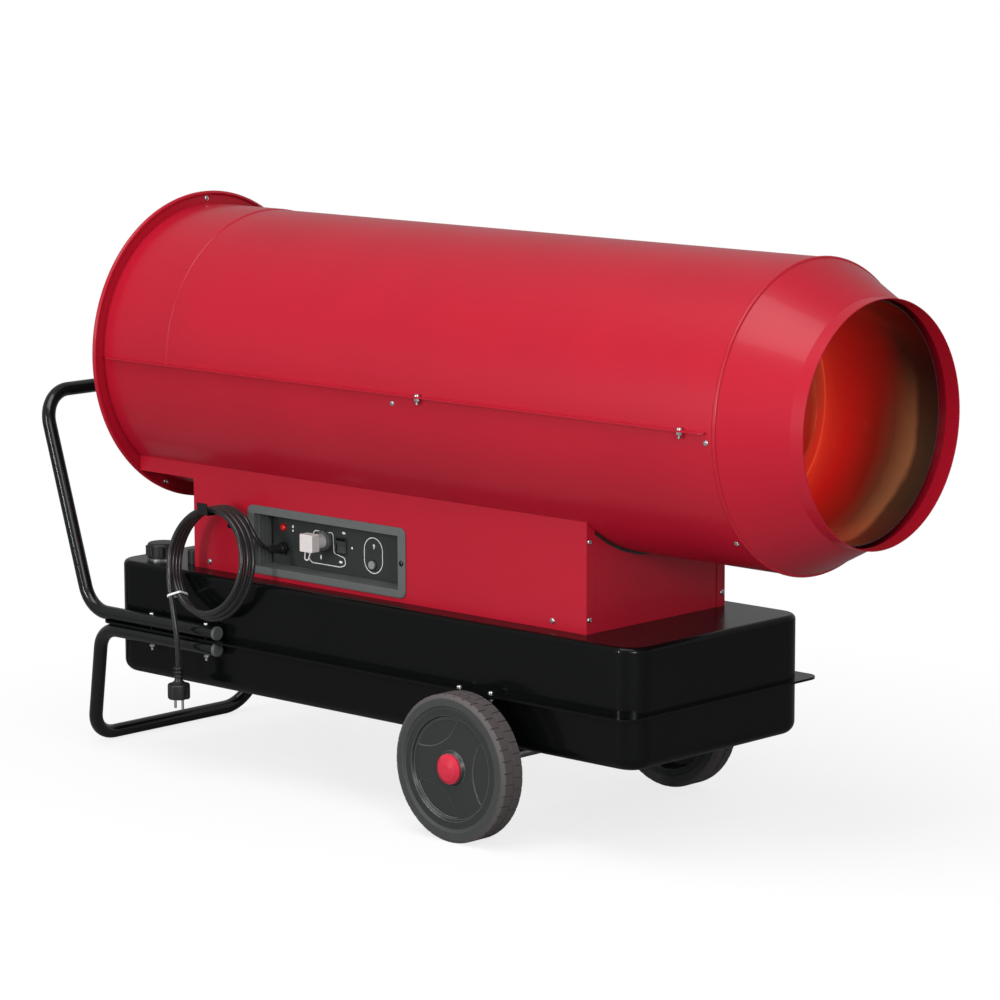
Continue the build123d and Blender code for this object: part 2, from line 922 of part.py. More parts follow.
suction_place = (pipe_hole_x, pipe_hole_offset)
bowl_low = tank_top + filter_foot_height
bowl_top = tank_top + filter_height
with BuildPart() as fuel_filter:
    rod((*suction_place, tank_top), (*suction_place, bowl_low), filter_foot_radius)
    rod((*suction_place, bowl_low), (*suction_place, bowl_top), filter_radius)
    fillet(fuel_filter.faces().sort_by(Axis.Z)[-1].edges(), filter_rounding)
keep(fuel_filter, "fuel_filter")

# Fuel pipes: suction from the filter, return to the tank, delivery to the nozzle line

port_z = axis_height - port_below_axis
pump_side = pump_size[1] / 2
suction = [
    (*suction_place, bowl_top),
    (*suction_place, port_z),
    (pipe_hole_x, pump_side, port_z),
]
fuel_return = [
    (pipe_hole_x, -pipe_hole_offset, tank_top),
    (pipe_hole_x, -pipe_hole_offset, port_z),
    (pipe_hole_x, -pump_side, port_z),
]
delivery = [
    (pump_front, delivery_offset, axis_height),
    (pump_front + delivery_straight, delivery_offset, axis_height),
    (line_rear - delivery_straight, 0, axis_height),
    (line_rear, 0, axis_height),
]
with BuildPart() as fuel_pipes:
    for points in (suction, fuel_return, delivery):
        swept(route(points, pipe_bend), pipe_radius)
keep(fuel_pipes, "fuel_pipes")

# Ignition transformer and burner control, on the far wall inside the base

far_wall = box_half_width - box_sheet


def wall_box(left, above_tank, size):
    # A case on the far wall, from its left end and its height above the tank.
    low = (left, far_wall - size[1], tank_top + above_tank)
    block(low, (left + size[0], far_wall, low[2] + size[2]))


transformer_right = transformer_left + transformer_size[0]
terminal_y = far_wall - transformer_size[1]
terminal_z = tank_top + transformer_above_tank + transformer_size[2] / 2
with BuildPart() as ignition_transformer:
    wall_box(transformer_left, transformer_above_tank, transformer_size)
    fillet(ignition_transformer.edges().filter_by(Axis.Y), transformer_corner)
    for x in (transformer_left + terminal_inset, transformer_right - terminal_inset):
        rod((x, terminal_y, terminal_z), (x, terminal_y - terminal_length, terminal_z), terminal_radius)
keep(ignition_transformer, "ignition_transformer")

with BuildPart() as control_box:
    wall_box(control_box_left, control_box_above_tank, control_box_size)
    chamfer(control_box.faces().sort_by(Axis.Y)[0].edges(), control_box_chamfer)
keep(control_box, "control_box")

# Tank: two deep-drawn pans welded at a flange


def pan_outline(inset, level):
    # The pan's plan with rounded corners, drawn in from the outside by an inset.
    with BuildSketch(Plane.XY.offset(level)) as plan:
        with Locations(((tank_front + tank_rear) / 2, 0)):
            RectangleRounded(
                tank_length - 2 * inset,
                2 * (tank_half_width - inset),
                tank_corner - inset,
            )
    return plan.sketch


def pan_hollow(low, high, rounded, radius):
    # The room inside a pan, with its edges rounded at one end: -1 for the top, 0 for the floor.
    with BuildPart(mode=Mode.PRIVATE) as room:
        extrude(pan_outline(tank_sheet, low), amount=high - low)
        fillet(room.faces().sort_by(Axis.Z)[rounded].edges(), radius)
    return room.part


def pan_flange(low):
    # The welded rim, wide along the sides and narrow at the ends.
    with BuildSketch(Plane.XY.offset(low)) as rim:
        with Locations(((tank_front + tank_rear) / 2, 0)):
            RectangleRounded(
                tank_length + 2 * flange_end,
                2 * (tank_half_width + flange_side),
                flange_corner,
            )
    extrude(rim.sketch, amount=tank_sheet)


def flange_holes():
    # Where bolts pass through the rim: the tubes and the axle brackets.
    places = [(x, side * tube_offset) for x in tube_bolt_x for side in (-1, 1)]
    for x in (axle_x - bracket_bolt_spread, axle_x + bracket_bolt_spread):
        places += [(x, -tube_offset), (x, tube_offset)]
    return places


def drill_flange():
    for x, y in flange_holes():
        low = tank_seam - 3 * tank_sheet
        high = tank_seam + 3 * tank_sheet
        rod((x, y, low), (x, y, high), bolt_radius + slip_gap, Mode.SUBTRACT)


lower_room = pan_hollow(tank_bottom + tank_sheet, tank_seam + cut_over, 0, tank_edge_bottom - tank_sheet)
with BuildPart() as tank_lower:
    extrude(pan_outline(0, tank_bottom), amount=tank_seam - tank_bottom)
    fillet(tank_lower.faces().sort_by(Axis.Z)[0].edges(), tank_edge_bottom)
    pan_flange(tank_seam - tank_sheet)
    add(lower_room, mode=Mode.SUBTRACT)
    drill_flange()
keep(tank_lower, "tank_lower")

pan_depth = tank_top - tank_seam
upper_room = pan_hollow(tank_seam - cut_over, tank_top - tank_sheet, -1, tank_edge_top - tank_sheet)
with BuildPart() as tank_upper:
    extrude(pan_outline(0, tank_seam), amount=pan_depth)
    fillet(tank_upper.faces().sort_by(Axis.Z)[-1].edges(), tank_edge_top)
    pan_flange(tank_seam)
    add(upper_room, mode=Mode.SUBTRACT)
    for place, radius in ((filler_place, neck_radius), (gauge_place, gauge_stem_radius)):
        low = (*place, tank_top - 3 * tank_sheet)
        high = (*place, tank_top + tank_sheet)
        rod(low, high, radius + slip_gap, Mode.SUBTRACT)
    drill_flange()
keep(tank_upper, "tank_upper")

# Filler neck, seal and cap

neck_low = tank_top - neck_depth
neck_top = tank_top + neck_height
neck_seat = tank_top + neck_flange_thickness
seal_top = neck_top + seal_thickness
seal_radius = neck_radius + seal_overlap
with BuildPart() as filler_neck:
    rod((*filler_place, neck_low), (*filler_place, neck_top), neck_radius)
    rod((*filler_place, tank_top), (*filler_place, neck_seat), neck_radius + neck_flange)
    rod(
        (*filler_place, neck_low - cut_over),
        (*filler_place, neck_top + cut_over),
        neck_radius - neck_wall,
        Mode.SUBTRACT,
    )
keep(filler_neck, "filler_neck")

with BuildPart() as cap_seal:
    rod((*filler_place, neck_top), (*filler_place, seal_top), seal_radius)
keep(cap_seal, "cap_seal")

cap_low = neck_seat + cap_gap
with BuildPart() as filler_cap:
    rod((*filler_place, cap_low), (*filler_place, cap_low + cap_height), cap_skirt_radius - cap_wall)
    with BuildSketch(Plane.XY.offset(cap_low + lobe_start)) as lobes:
        with Locations(filler_place):
            with PolarLocations(cap_skirt_radius - lobe_radius, cap_lobes):
                Circle(lobe_radius)
    extrude(lobes.sketch, amount=lobe_height)
    fillet(filler_cap.faces().sort_by(Axis.Z)[-1].edges(), cap_rounding)
    rod(
        (*filler_place, cap_low - cut_over),
        (*filler_place, seal_top + seal_clearance),
        seal_radius + cap_gap,
        Mode.SUBTRACT,
    )
keep(filler_cap, "filler_cap")

# Fuel gauge: head and stem, with the float that slides on the stem

stem_low = tank_bottom + gauge_stem_above_floor
with BuildPart() as fuel_gauge:
    rod((*gauge_place, tank_top), (*gauge_place, tank_top + gauge_height), gauge_radius)
    fillet(fuel_gauge.faces().sort_by(Axis.Z)[-1].edges(), gauge_rounding)
    rod((*gauge_place, stem_low), (*gauge_place, tank_top + cut_over), gauge_stem_radius)
    rod(
        (*gauge_place, stem_low - gauge_stop_height),
        (*gauge_place, stem_low),
        gauge_stem_radius + gauge_stop_flange,
    )
keep(fuel_gauge, "fuel_gauge")

float_low = stem_low + float_gap
with BuildPart() as gauge_float:
    rod((*gauge_place, float_low), (*gauge_place, float_low + float_height), float_radius)
    rod(
        (*gauge_place, float_low - cut_over),
        (*gauge_place, float_low + float_height + cut_over),
        gauge_stem_radius + float_gap,
        Mode.SUBTRACT,
    )
keep(gauge_float, "gauge_float")

# Base box: two side panels that fold round the corners, a front and a rear panel

wing_low = box_top - wing_height
side_screw_z = tank_top + side_screw_above_tank
side_screw_x = (box_rear + side_screw_from_rear, box_front - side_screw_from_front)
front_screw_y = box_half_width - front_screw_inset
front_screw_z = (tank_top + front_screw_above_tank, box_top - front_screw_below_top)


def drill_front(side):
    # The holes for the front screws of one side.
    for z in front_screw_z:
        low = (box_front - hole_reach, side * front_screw_y, z)
        high = (box_front + hole_reach, side * front_screw_y, z)
        rod(low, high, screw_shank_radius + slip_gap, Mode.SUBTRACT)


def side_panel(side):
    # A side wall with its front fold and the wing that reaches back to the inlet ring.
    outer = side * box_half_width
    inner = side * (box_half_width - box_sheet)
    with BuildSketch(Plane.XZ.offset(-outer)) as wall:
        with BuildLine():
            Polyline(
                (box_rear, tank_top),
                (box_rear, wing_low),
                (barrel_rear, wing_low),
                (barrel_rear, box_top),
                (box_front, box_top),
                (box_front, tank_top),
                close=True,
            )
        make_face()
    extrude(wall.sketch, amount=side * box_sheet)
    low_y, high_y = sorted((outer, side * (box_half_width - box_fold)))
    block((box_front - box_sheet, low_y, tank_top), (box_front, high_y, box_top))
    low_y, high_y = sorted((inner, side * (box_half_width - box_fold)))
    block((box_rear, low_y, tank_top), (box_rear + box_sheet, high_y, wing_low))
    rod(
        (barrel_rear - cut_over, 0, axis_height),
        (box_front + cut_over, 0, axis_height),
        barrel_radius + slip_gap,
        Mode.SUBTRACT,
    )
    for x in side_screw_x:
        low = (x, side * (box_half_width - hole_reach), side_screw_z)
        high = (x, side * (box_half_width + hole_reach), side_screw_z)
        rod(low, high, screw_shank_radius + slip_gap, Mode.SUBTRACT)
    drill_front(side)


with BuildPart() as base_side_near:
    side_panel(-1)
    for x, z in (*bezel_screws, hook_screw):
        low = (x, -box_half_width - hole_reach, z)
        high = (x, -box_half_width + hole_reach, z)
        rod(low, high, screw_shank_radius + slip_gap, Mode.SUBTRACT)
    window = bezel_wall + window_gap
    block(
        (recess_left - window, -box_half_width - hole_reach, recess_low - window),
        (recess_right + window, -box_half_width + hole_reach, recess_top + window),
        Mode.SUBTRACT,
    )
keep(base_side_near, "base_side_near")

with BuildPart() as base_side_far:
    side_panel(1)
keep(base_side_far, "base_side_far")


def cross_panel(x, top, cut_radius):
    # A wall across the box, its upper edge cut to the barrel.
    reach = box_half_width - box_sheet - slip_gap
    block((x, -reach, tank_top), (x + box_sheet, reach, top))
    rod(
        (x - cut_over, 0, axis_height),
        (x + box_sheet + cut_over, 0, axis_height),
        cut_radius,
        Mode.SUBTRACT,
    )


trim_inner = barrel_radius + 2 * slip_gap
with BuildPart() as base_front:
    cross_panel(box_front - 2 * box_sheet, box_top, trim_inner + trim_depth / 2 + slip_gap)
    for side in (-1, 1):
        drill_front(side)
keep(base_front, "base_front")

with BuildPart() as base_rear:
    cross_panel(box_rear + box_sheet, wing_low, barrel_radius + slip_gap)
keep(base_rear, "base_rear")

# Edge trim: a rubber section over the front panel's curved cut

trim_reach = box_half_width - box_fold - trim_depth
trim_half = degrees(atan2(trim_reach, sqrt(barrel_radius**2 - trim_reach**2)))
trim_x = box_front - 1.5 * box_sheet
with BuildPart() as cutout_trim:
    trim_plane = Plane(
        origin=(0, 0, axis_height),
        x_dir=(1, 0, 0),
        z_dir=(0, cos(radians(trim_half)), -sin(radians(trim_half))),
    )
    with BuildSketch(trim_plane) as trim:
        middle = trim_inner + trim_depth / 2
        with Locations((trim_x, middle)):
            Rectangle(trim_width, trim_depth)
        with Locations((trim_x, middle + trim_depth / 2)):
            Rectangle(box_sheet + slip_gap, trim_depth, mode=Mode.SUBTRACT)
    revolve(trim.sketch, axis=barrel_axis, revolution_arc=2 * trim_half)
keep(cutout_trim, "cutout_trim")

# Control recess: a moulded frame that stands in the near side panel's window

bezel_face = -box_half_width - bezel_proud
plate_back = plate_face + plate_thickness
with BuildPart() as control_bezel:
    with BuildSketch(Plane.XZ.offset(box_half_width)) as frame:
        with Locations(((bezel_left + bezel_right) / 2, (bezel_low + bezel_top) / 2)):
            RectangleRounded(bezel_length, bezel_height, bezel_corner)
    extrude(frame.sketch, amount=bezel_proud)
    fillet(control_bezel.faces().sort_by(Axis.Y)[0].edges(), bezel_rounding)
    block(
        (recess_left - bezel_wall, -box_half_width, recess_low - bezel_wall),
        (recess_right + bezel_wall, plate_back, recess_top + bezel_wall),
    )
    block(
        (recess_left, bezel_face - cut_over, recess_low),
        (recess_right, plate_back + cut_over, recess_top),
        Mode.SUBTRACT,
    )
    for index in range(bezel_ribs):
        rib_low = -box_half_width + recess_depth * (index + 1) / (bezel_ribs + 1) - rib_width / 2
        rib_corner = (recess_left + rib_depth, rib_low + rib_width, recess_top)
        block((recess_left, rib_low, recess_low), rib_corner)
    for x, z in bezel_screws:
        low = (x, bezel_face - cut_over, z)
        high = (x, -box_half_width + cut_over, z)
        rod(low, high, screw_shank_radius + slip_gap, Mode.SUBTRACT)
keep(control_bezel, "control_bezel")


def plate_rod(place, near, far, radius, mode=Mode.ADD):
    # A round feature square to the control plate, between two distances in front of it.
    rod(plate_point(place, near), plate_point(place, far), radius, mode)


def plate_box(place, half_width, half_height, near, far, mode=Mode.ADD):
    # A rectangular feature on the control plate, between two distances in front of it.
    x, _, z = plate_point(place)
    low = (x - half_width, plate_face - far, z - half_height)
    high = (x + half_width, plate_face - near, z + half_height)
    block(low, high, mode)


body_half_width = switch_width / 2 - switch_flange
body_half_height = switch_height / 2 - switch_flange
breaker_radius = button_radius + button_gap + breaker_wall
gland_thread_radius = gland_radius - gland_thread_step
with BuildPart() as control_plate:
    plate_low = (recess_left + rib_depth + plate_gap, plate_face, recess_low + slip_gap)
    block(plate_low, (recess_right - slip_gap, plate_back, recess_top - slip_gap))
    plate_box(
        switch_place,
        body_half_width + slip_gap,
        body_half_height + slip_gap,
        -plate_thickness - cut_over,
        cut_over,
        Mode.SUBTRACT,
    )
    for place, radius in (
        (lamp_place, lamp_body_radius),
        (gland_place, gland_thread_radius),
        (socket_place, socket_body_radius),
        (reset_place, breaker_radius),
    ):
        plate_rod(place, -plate_thickness - cut_over, cut_over, radius + slip_gap, Mode.SUBTRACT)
keep(control_plate, "control_plate")

with BuildPart() as lamp:
    plate_rod(lamp_place, -plate_thickness - lamp_depth, 0, lamp_body_radius)
    plate_rod(lamp_place, 0, lamp_proud, lamp_radius)
    fillet(lamp.faces().sort_by(Axis.Y)[0].edges(), lamp_body_radius)
keep(lamp, "lamp")

with BuildPart() as cord_gland:
    plate_rod(gland_place, -plate_thickness - gland_depth, 0, gland_thread_radius)
    with BuildSketch(Plane.XZ.offset(-plate_face)) as nut:
        with Locations((plate_point(gland_place)[0], plate_point(gland_place)[2])):
            RegularPolygon(gland_radius + gland_nut_overhang, 6)
    extrude(nut.sketch, amount=gland_nut_height)
    plate_rod(gland_place, gland_nut_height, gland_length, gland_radius - gland_dome_step)
    fillet(cord_gland.faces().sort_by(Axis.Y)[0].edges(), gland_rounding)
keep(cord_gland, "cord_gland")

with BuildPart() as thermostat_socket:
    plate_rod(socket_place, 0, socket_height, socket_radius)
    chamfer(thermostat_socket.faces().sort_by(Axis.Y)[0].edges(), socket_chamfer)
    plate_rod(socket_place, -plate_thickness - socket_depth, 0, socket_body_radius)
    for side in (-1, 1):
        place = (socket_place[0], socket_place[1] + side * pin_spread)
        plate_rod(
            place,
            socket_height - pin_length - pin_hole_spare,
            socket_height + cut_over,
            pin_radius + pin_clearance,
            Mode.SUBTRACT,
        )
keep(thermostat_socket, "thermostat_socket")

# Thermostat plug: nose, square grip, two pins, and the bypass wire across it

nose_from = socket_height + pin_clearance
nose_to = nose_from + plug_nose_length - socket_height
grip_to = nose_to + plug_grip_depth
grip_half = plug_grip / 2
with BuildPart() as thermostat_plug:
    plate_box(socket_place, grip_half, grip_half, nose_to, grip_to)
    fillet(thermostat_plug.edges().filter_by(Axis.Y), plug_grip_corner)
    plate_rod(socket_place, nose_from, nose_to, plug_nose_radius)
    for inset in grip_grooves:
        near = nose_to + inset
        far = near + grip_groove_width
        wide = grip_half + cut_over
        plate_box(socket_place, wide, wide, near, far, Mode.SUBTRACT)
        narrow = grip_half - grip_groove_depth
        plate_box(socket_place, narrow, narrow, near, far)
    for side in (-1, 1):
        place = (socket_place[0], socket_place[1] + side * pin_spread)
        plate_rod(place, nose_from - pin_length, nose_from + pin_root, pin_radius)
    wire_x = plate_point(socket_place)[0]
    wire_z = plate_point(socket_place)[2] - grip_half
    wire_y = plate_face - nose_to
    bypass = [
        (wire_x - 7, wire_y - 12, wire_z + 1),
        (wire_x - 9, wire_y - 12, wire_z - 14),
        (wire_x - 3, wire_y - 10, wire_z - 16),
        (wire_x + 1, wire_y - 6, wire_z + 1),
    ]
    swept(route(bypass, bypass_bend), bypass_radius)
keep(thermostat_plug, "thermostat_plug")

# Rocker switch: a frame in the plate and a rocker on a cross pin

pocket_half_width = body_half_width - housing_wall
pocket_half_height = body_half_height - housing_wall
rocker_half_width = pocket_half_width - rocker_gap
rocker_half_height = pocket_half_height - rocker_end_gap
pivot = plate_point(switch_place, -pivot_depth)
pin_reach = pocket_half_width + housing_wall / 2
pin_ends = ((pivot[0] - pin_reach, *pivot[1:]), (pivot[0] + pin_reach, *pivot[1:]))
with BuildPart() as switch_housing:
    plate_box(switch_place, switch_width / 2, switch_height / 2, 0, switch_proud)
    chamfer(switch_housing.faces().sort_by(Axis.Y)[0].edges(), switch_chamfer)
    plate_box(switch_place, body_half_width, body_half_height, -switch_depth, switch_proud / 2)
    plate_box(
        switch_place,
        pocket_half_width,
        pocket_half_height,
        housing_wall - switch_depth,
        switch_proud + cut_over,
        Mode.SUBTRACT,
    )
    rod(*pin_ends, rocker_pin_radius)
keep(switch_housing, "switch_housing")

rocker_plane = Plane(origin=pivot, x_dir=(0, -1, 0), z_dir=(1, 0, 0)).rotated((rocker_tilt, 0, 0))
with BuildPart() as rocker:
    with BuildSketch(rocker_plane) as rocker_side:
        with BuildLine():
            Polyline(
                (-rocker_pin_radius - rocker_back, 0),
                (-rocker_pin_radius, rocker_half_height - rocker_relief),
                (pivot_depth + switch_proud, rocker_half_height),
                (pivot_depth, 0),
                (pivot_depth + switch_proud, -rocker_half_height),
                (-rocker_pin_radius, rocker_relief - rocker_half_height),
                close=True,
            )
        make_face()
    extrude(rocker_side.sketch, amount=rocker_half_width, both=True)
    rod(*pin_ends, rocker_pin_radius + bearing_clearance, Mode.SUBTRACT)
keep(rocker, "rocker")

# Reset button of the burner control, in its own collar

breaker_low = breaker_floor - breaker_depth
with BuildPart() as reset_collar:
    plate_rod(reset_place, 0, button_collar_proud, button_radius + button_collar)
    plate_rod(reset_place, -breaker_depth, 0, breaker_radius)
    plate_rod(
        reset_place,
        breaker_low,
        button_collar_proud + cut_over,
        button_radius + button_gap,
        Mode.SUBTRACT,
    )
keep(reset_collar, "reset_collar")

with BuildPart() as reset_button:
    plate_rod(reset_place, breaker_low + button_travel + button_end_gap, button_proud, button_radius)
    fillet(reset_button.faces().sort_by(Axis.Y)[0].edges(), button_rounding)
keep(reset_button, "reset_button")

# Cord hook: a strap screwed to the side panel, with an arm and an upturned tip

arm_end = hook_face - hook_reach
with BuildPart() as cord_hook:
    with BuildSketch(Plane.YZ.offset(hook_x - hook_width / 2)) as strap:
        with BuildLine() as strap_line:
            FilletPolyline(
                (hook_face - hook_sheet / 2, arm_top - hook_root),
                (hook_face - hook_sheet / 2, arm_top - hook_sheet / 2),
                (arm_end, arm_top - hook_sheet / 2),
                (arm_end - hook_tip_lean, arm_top + hook_tip_height),
                radius=hook_bend,
            )
        trace(strap_line.line, hook_sheet)
    extrude(strap.sketch, amount=hook_width)
    rod(
        (hook_screw[0], hook_face - hook_sheet - cut_over, hook_screw[1]),
        (hook_screw[0], hook_face + cut_over, hook_screw[1]),
        screw_shank_radius + slip_gap,
        Mode.SUBTRACT,
    )
keep(cord_hook, "cord_hook")

# Supply cord: the lead out of the gland, the coil on the hook, and the hanging end


def coil_point(angle):
    # A point of the coil's centre line, from the top of the loops towards the inlet end.
    # The loops hang from one level, shrink towards the front and lean out over the tank.
    turn = (angle - coil_start) / 360
    radius = coil_first_radius - coil_shrink * turn
    drop = radius - radius * cos(radians(angle))
    out = coil_back - coil_pitch * turn - coil_lean * drop
    return Vector(coil_x - radius * sin(radians(angle)), out, coil_hang - drop)


def coil_tangent(angle):
    return (coil_point(angle + small_turn) - coil_point(angle - small_turn)).normalized()


def middle_of_arcs(start, leaving, end, arriving):
    # Where two arcs meet that join two points with the directions given there.
    span = end - start
    both = leaving + arriving
    square = 2 * (leaving.dot(arriving) - 1)
    linear = -2 * span.dot(both)
    length = (-linear - sqrt(linear**2 - 4 * square * span.dot(span))) / (2 * square)
    before = start + leaving * length
    after = end - arriving * length
    return (before + after) * 0.5, (after - before).normalized()


def bend_radii(points):
    # The largest arc that each corner's shorter run allows.
    radii = []
    for before, corner, after in zip(points, points[1:], points[2:]):
        run_in = Vector(*corner) - Vector(*before)
        run_out = Vector(*after) - Vector(*corner)
        turn = radians(run_in.get_angle(run_out))
        radii.append(arc_share * min(run_in.length, run_out.length) / tan(turn / 2))
    return radii


cord_width = 2 * cord_radius
coil_head = coil_point(coil_start)
coil_tail = coil_point(coil_end)
head_turn = coil_tangent(coil_start)
tail_turn = coil_tangent(coil_end)
coil_steps = round((coil_end - coil_start) / 90)
with BuildPart() as cord_coil:
    with BuildLine() as coil_line:
        Line(coil_head - head_turn * cord_width, coil_head)
        for step in range(coil_steps):
            angle = coil_start + (coil_end - coil_start) * step / coil_steps
            reach = coil_start + (coil_end - coil_start) * (step + 1) / coil_steps
            near, far = coil_point(angle), coil_point(reach)
            middle, heading = middle_of_arcs(near, coil_tangent(angle), far, coil_tangent(reach))
            TangentArc(near, middle, tangent=coil_tangent(angle))
            TangentArc(middle, far, tangent=heading)
        Line(coil_tail, coil_tail + tail_turn * cord_width)
    coil_path = coil_line.wires()[0]
    swept(coil_path, cord_radius)
keep(cord_coil, "cord_coil")

sample_count = int(coil_end - coil_start) // sample_step
coil_samples = [coil_point(coil_start + sample_step * step) for step in range(sample_count)]
half_turn = 180 // sample_step
coil_gap = min(
    (one - other).length
    for index, one in enumerate(coil_samples)
    for other in coil_samples[index + half_turn:]
)
print(f"coil: length {coil_path.length:.0f}, least gap to itself {coil_gap - cord_width:.2f}")

gland_end = plate_point(gland_place, gland_length)
lead_route = [
    gland_end,
    (-338, -164, 409),
    (-339, -185, 416),
    (-344, -200, 433),
    (-354, -205, 454),
    tuple(coil_head - head_turn * (cord_width + lead_straight)),
    tuple(coil_head - head_turn * cord_width),
]
tail_route = [
    tuple(coil_tail + tail_turn * cord_width),
    tuple(coil_tail + tail_turn * (cord_width + tail_straight)),
    (-484, -268, 287),
    (-473, -269, 232),
    (-473, -269, plug_top),
]
for node, points in (("supply_lead", lead_route), ("plug_lead", tail_route)):
    radii = bend_radii(points)
    with BuildPart() as stretch:
        swept(route(points, radii), cord_radius)
    keep(stretch, node)
    stretch_length = route(points, radii).length
    tube_volume = pi * cord_radius**2 * stretch_length
    listed = ", ".join(f"{radius:.0f}" for radius in radii)
    print(f"{node}: length {stretch_length:.0f}, radii {listed}")
    print(f"{node}: volume {stretch.part.volume / tube_volume:.4f} of section times length")

# Cord tie: a flat strap round the hanging end and the loops beside it

tail_path = route(tail_route, bend_radii(tail_route))
tie_tail = tail_path @ tie_place
tie_plane = Plane(
    origin=coil_point(tie_angle),
    x_dir=tie_tail - coil_point(tie_angle),
    z_dir=coil_tangent(tie_angle) + tail_path % tie_place,
)


def tie_crossing(point, along):
    # Where a cord that passes through a point crosses the strap's plane, in that plane.
    normal = tie_plane.z_dir
    ahead = (tie_plane.origin - point).dot(normal) / along.dot(normal)
    place = tie_plane.to_local_coords(point + along * ahead)
    return (place.X, place.Y)


tied_angles = [tie_angle - 360 * turn for turn in range(tied_loops)]
tied_places = [tie_crossing(coil_point(angle), coil_tangent(angle)) for angle in tied_angles]
tied_places.append(tie_crossing(tie_tail, tail_path % tie_place))


def tie_outline(radius, mode):
    # The outline drawn tight round the tied cords, that far from their centre lines.
    with BuildSketch(tie_plane) as outline:
        with Locations(*tied_places):
            Circle(radius)
        make_hull()
    extrude(outline.sketch, amount=tie_width / 2, both=True, mode=mode)


with BuildPart() as cord_tie:
    tie_outline(cord_radius + tie_gap + tie_wall, Mode.ADD)
    tie_outline(cord_radius + tie_gap, Mode.SUBTRACT)
keep(cord_tie, "cord_tie")

# Mains plug: ribbed strain relief, cone, notched body and two pins

plug_x, plug_y = tail_route[-1][:2]
plug_low = plug_top - relief_length - plug_body_height
with BuildPart() as mains_plug:
    rod((plug_x, plug_y, plug_top - relief_length), (plug_x, plug_y, plug_top), relief_core_radius)
    for level in range(relief_ribs):
        rib = plug_top - relief_first_rib - level * relief_pitch
        rod((plug_x, plug_y, rib), (plug_x, plug_y, rib + relief_rib_width), relief_radius)
    with Locations((plug_x, plug_y, plug_low + plug_body_height)):
        Cone(
            plug_body_radius - plug_shoulder,
            relief_core_radius,
            plug_cone_height,
            align=(Align.CENTER, Align.CENTER, Align.MIN),
        )
    rod((plug_x, plug_y, plug_low), (plug_x, plug_y, plug_low + plug_body_height), plug_body_radius)
    for side in (-1, 1):
        notch_y = plug_y + side * (plug_body_radius + plug_notch_outset)
        rod(
            (plug_x, notch_y, plug_low - cut_over),
            (plug_x, notch_y, plug_low + plug_notch_height),
            plug_notch_radius,
            Mode.SUBTRACT,
        )
        rod(
            (plug_x + side * plug_pin_spread, plug_y, plug_low - plug_pin_length),
            (plug_x + side * plug_pin_spread, plug_y, plug_low + plug_pin_root),
            plug_pin_radius,
        )
keep(mains_plug, "mains_plug")

# Handle and leg: two bent tubes bolted above and below the tank's rim

handle_corner_x = tank_rear - handle_corner_behind_tank
handle_top_x = tank_rear - handle_top_behind_tank
leg_corner_x = tank_rear - leg_corner_behind_tank
leg_foot_x = tank_rear - leg_foot_behind_tank
leg_foot_y = tube_offset - leg_foot_draw
handle_points = [
    (tube_front, -tube_offset, handle_z),
    (handle_corner_x, -tube_offset, handle_z),
    (handle_top_x, -tube_offset, handle_top_z),
    (handle_top_x, tube_offset, handle_top_z),
    (handle_corner_x, tube_offset, handle_z),
    (tube_front, tube_offset, handle_z),
]
leg_points = [
    (tube_front, -tube_offset, leg_z),
    (leg_corner_x, -tube_offset, leg_z),
    (leg_foot_x, -leg_foot_y, tube_radius),
    (leg_foot_x, leg_foot_y, tube_radius),
    (leg_corner_x, tube_offset, leg_z),
    (tube_front, tube_offset, leg_z),
]
for node, points in (("push_handle", handle_points), ("support_leg", leg_points)):
    with BuildPart() as bent_tube:
        swept(route(points, tube_bend), tube_radius, tube_wall)
        for x in tube_bolt_x:
            for y in (-tube_offset, tube_offset):
                low = (x, y, points[0][2] - tube_radius - cut_over)
                high = (x, y, points[0][2] + tube_radius + cut_over)
                rod(low, high, bolt_radius + slip_gap, Mode.SUBTRACT)
    keep(bent_tube, node)

with BuildPart() as tube_end_caps:
    for y in (-tube_offset, tube_offset):
        for z in (handle_z, leg_z):
            rod((tube_front, y, z), (tube_front + end_cap_thickness, y, z), tube_radius)
            plug_end = (tube_front - end_cap_plug, y, z)
            rod(plug_end, (tube_front, y, z), tube_radius - tube_wall - slip_gap)
    chamfer(tube_end_caps.faces().sort_by(Axis.X)[-4:].edges(), end_cap_chamfer)
keep(tube_end_caps, "tube_end_caps")

# Axle and its two brackets under the tank's rim

with BuildPart() as axle:
    rod(
        (axle_x, -wheel_outer_face, wheel_radius),
        (axle_x, wheel_outer_face, wheel_radius),
        axle_radius,
    )
keep(axle, "axle")

bracket_top = tank_seam - tank_sheet
bracket_low = wheel_radius - axle_radius - bracket_below_axle
bracket_inner = tank_half_width + slip_gap
with BuildPart() as axle_brackets:
    for side in (-1, 1):
        low_y, high_y = sorted((side * bracket_inner, side * (bracket_inner + bracket_plate)))
        block(
            (axle_x - bracket_length / 2, low_y, bracket_low),
            (axle_x + bracket_length / 2, high_y, bracket_top),
        )
        low_y, high_y = sorted((side * bracket_inner, side * (tank_half_width + flange_side)))
        block(
            (axle_x - bracket_length / 2, low_y, bracket_top - bracket_plate),
            (axle_x + bracket_length / 2, high_y, bracket_top),
        )
        for x in (axle_x - bracket_bolt_spread, axle_x + bracket_bolt_spread):
            low = (x, side * tube_offset, bracket_top - bracket_plate - cut_over)
            high = (x, side * tube_offset, bracket_top + cut_over)
            rod(low, high, bolt_radius + slip_gap, Mode.SUBTRACT)
    rod(
        (axle_x, -wheel_inner_face, wheel_radius),
        (axle_x, wheel_inner_face, wheel_radius),
        axle_radius + slip_gap,
        Mode.SUBTRACT,
    )
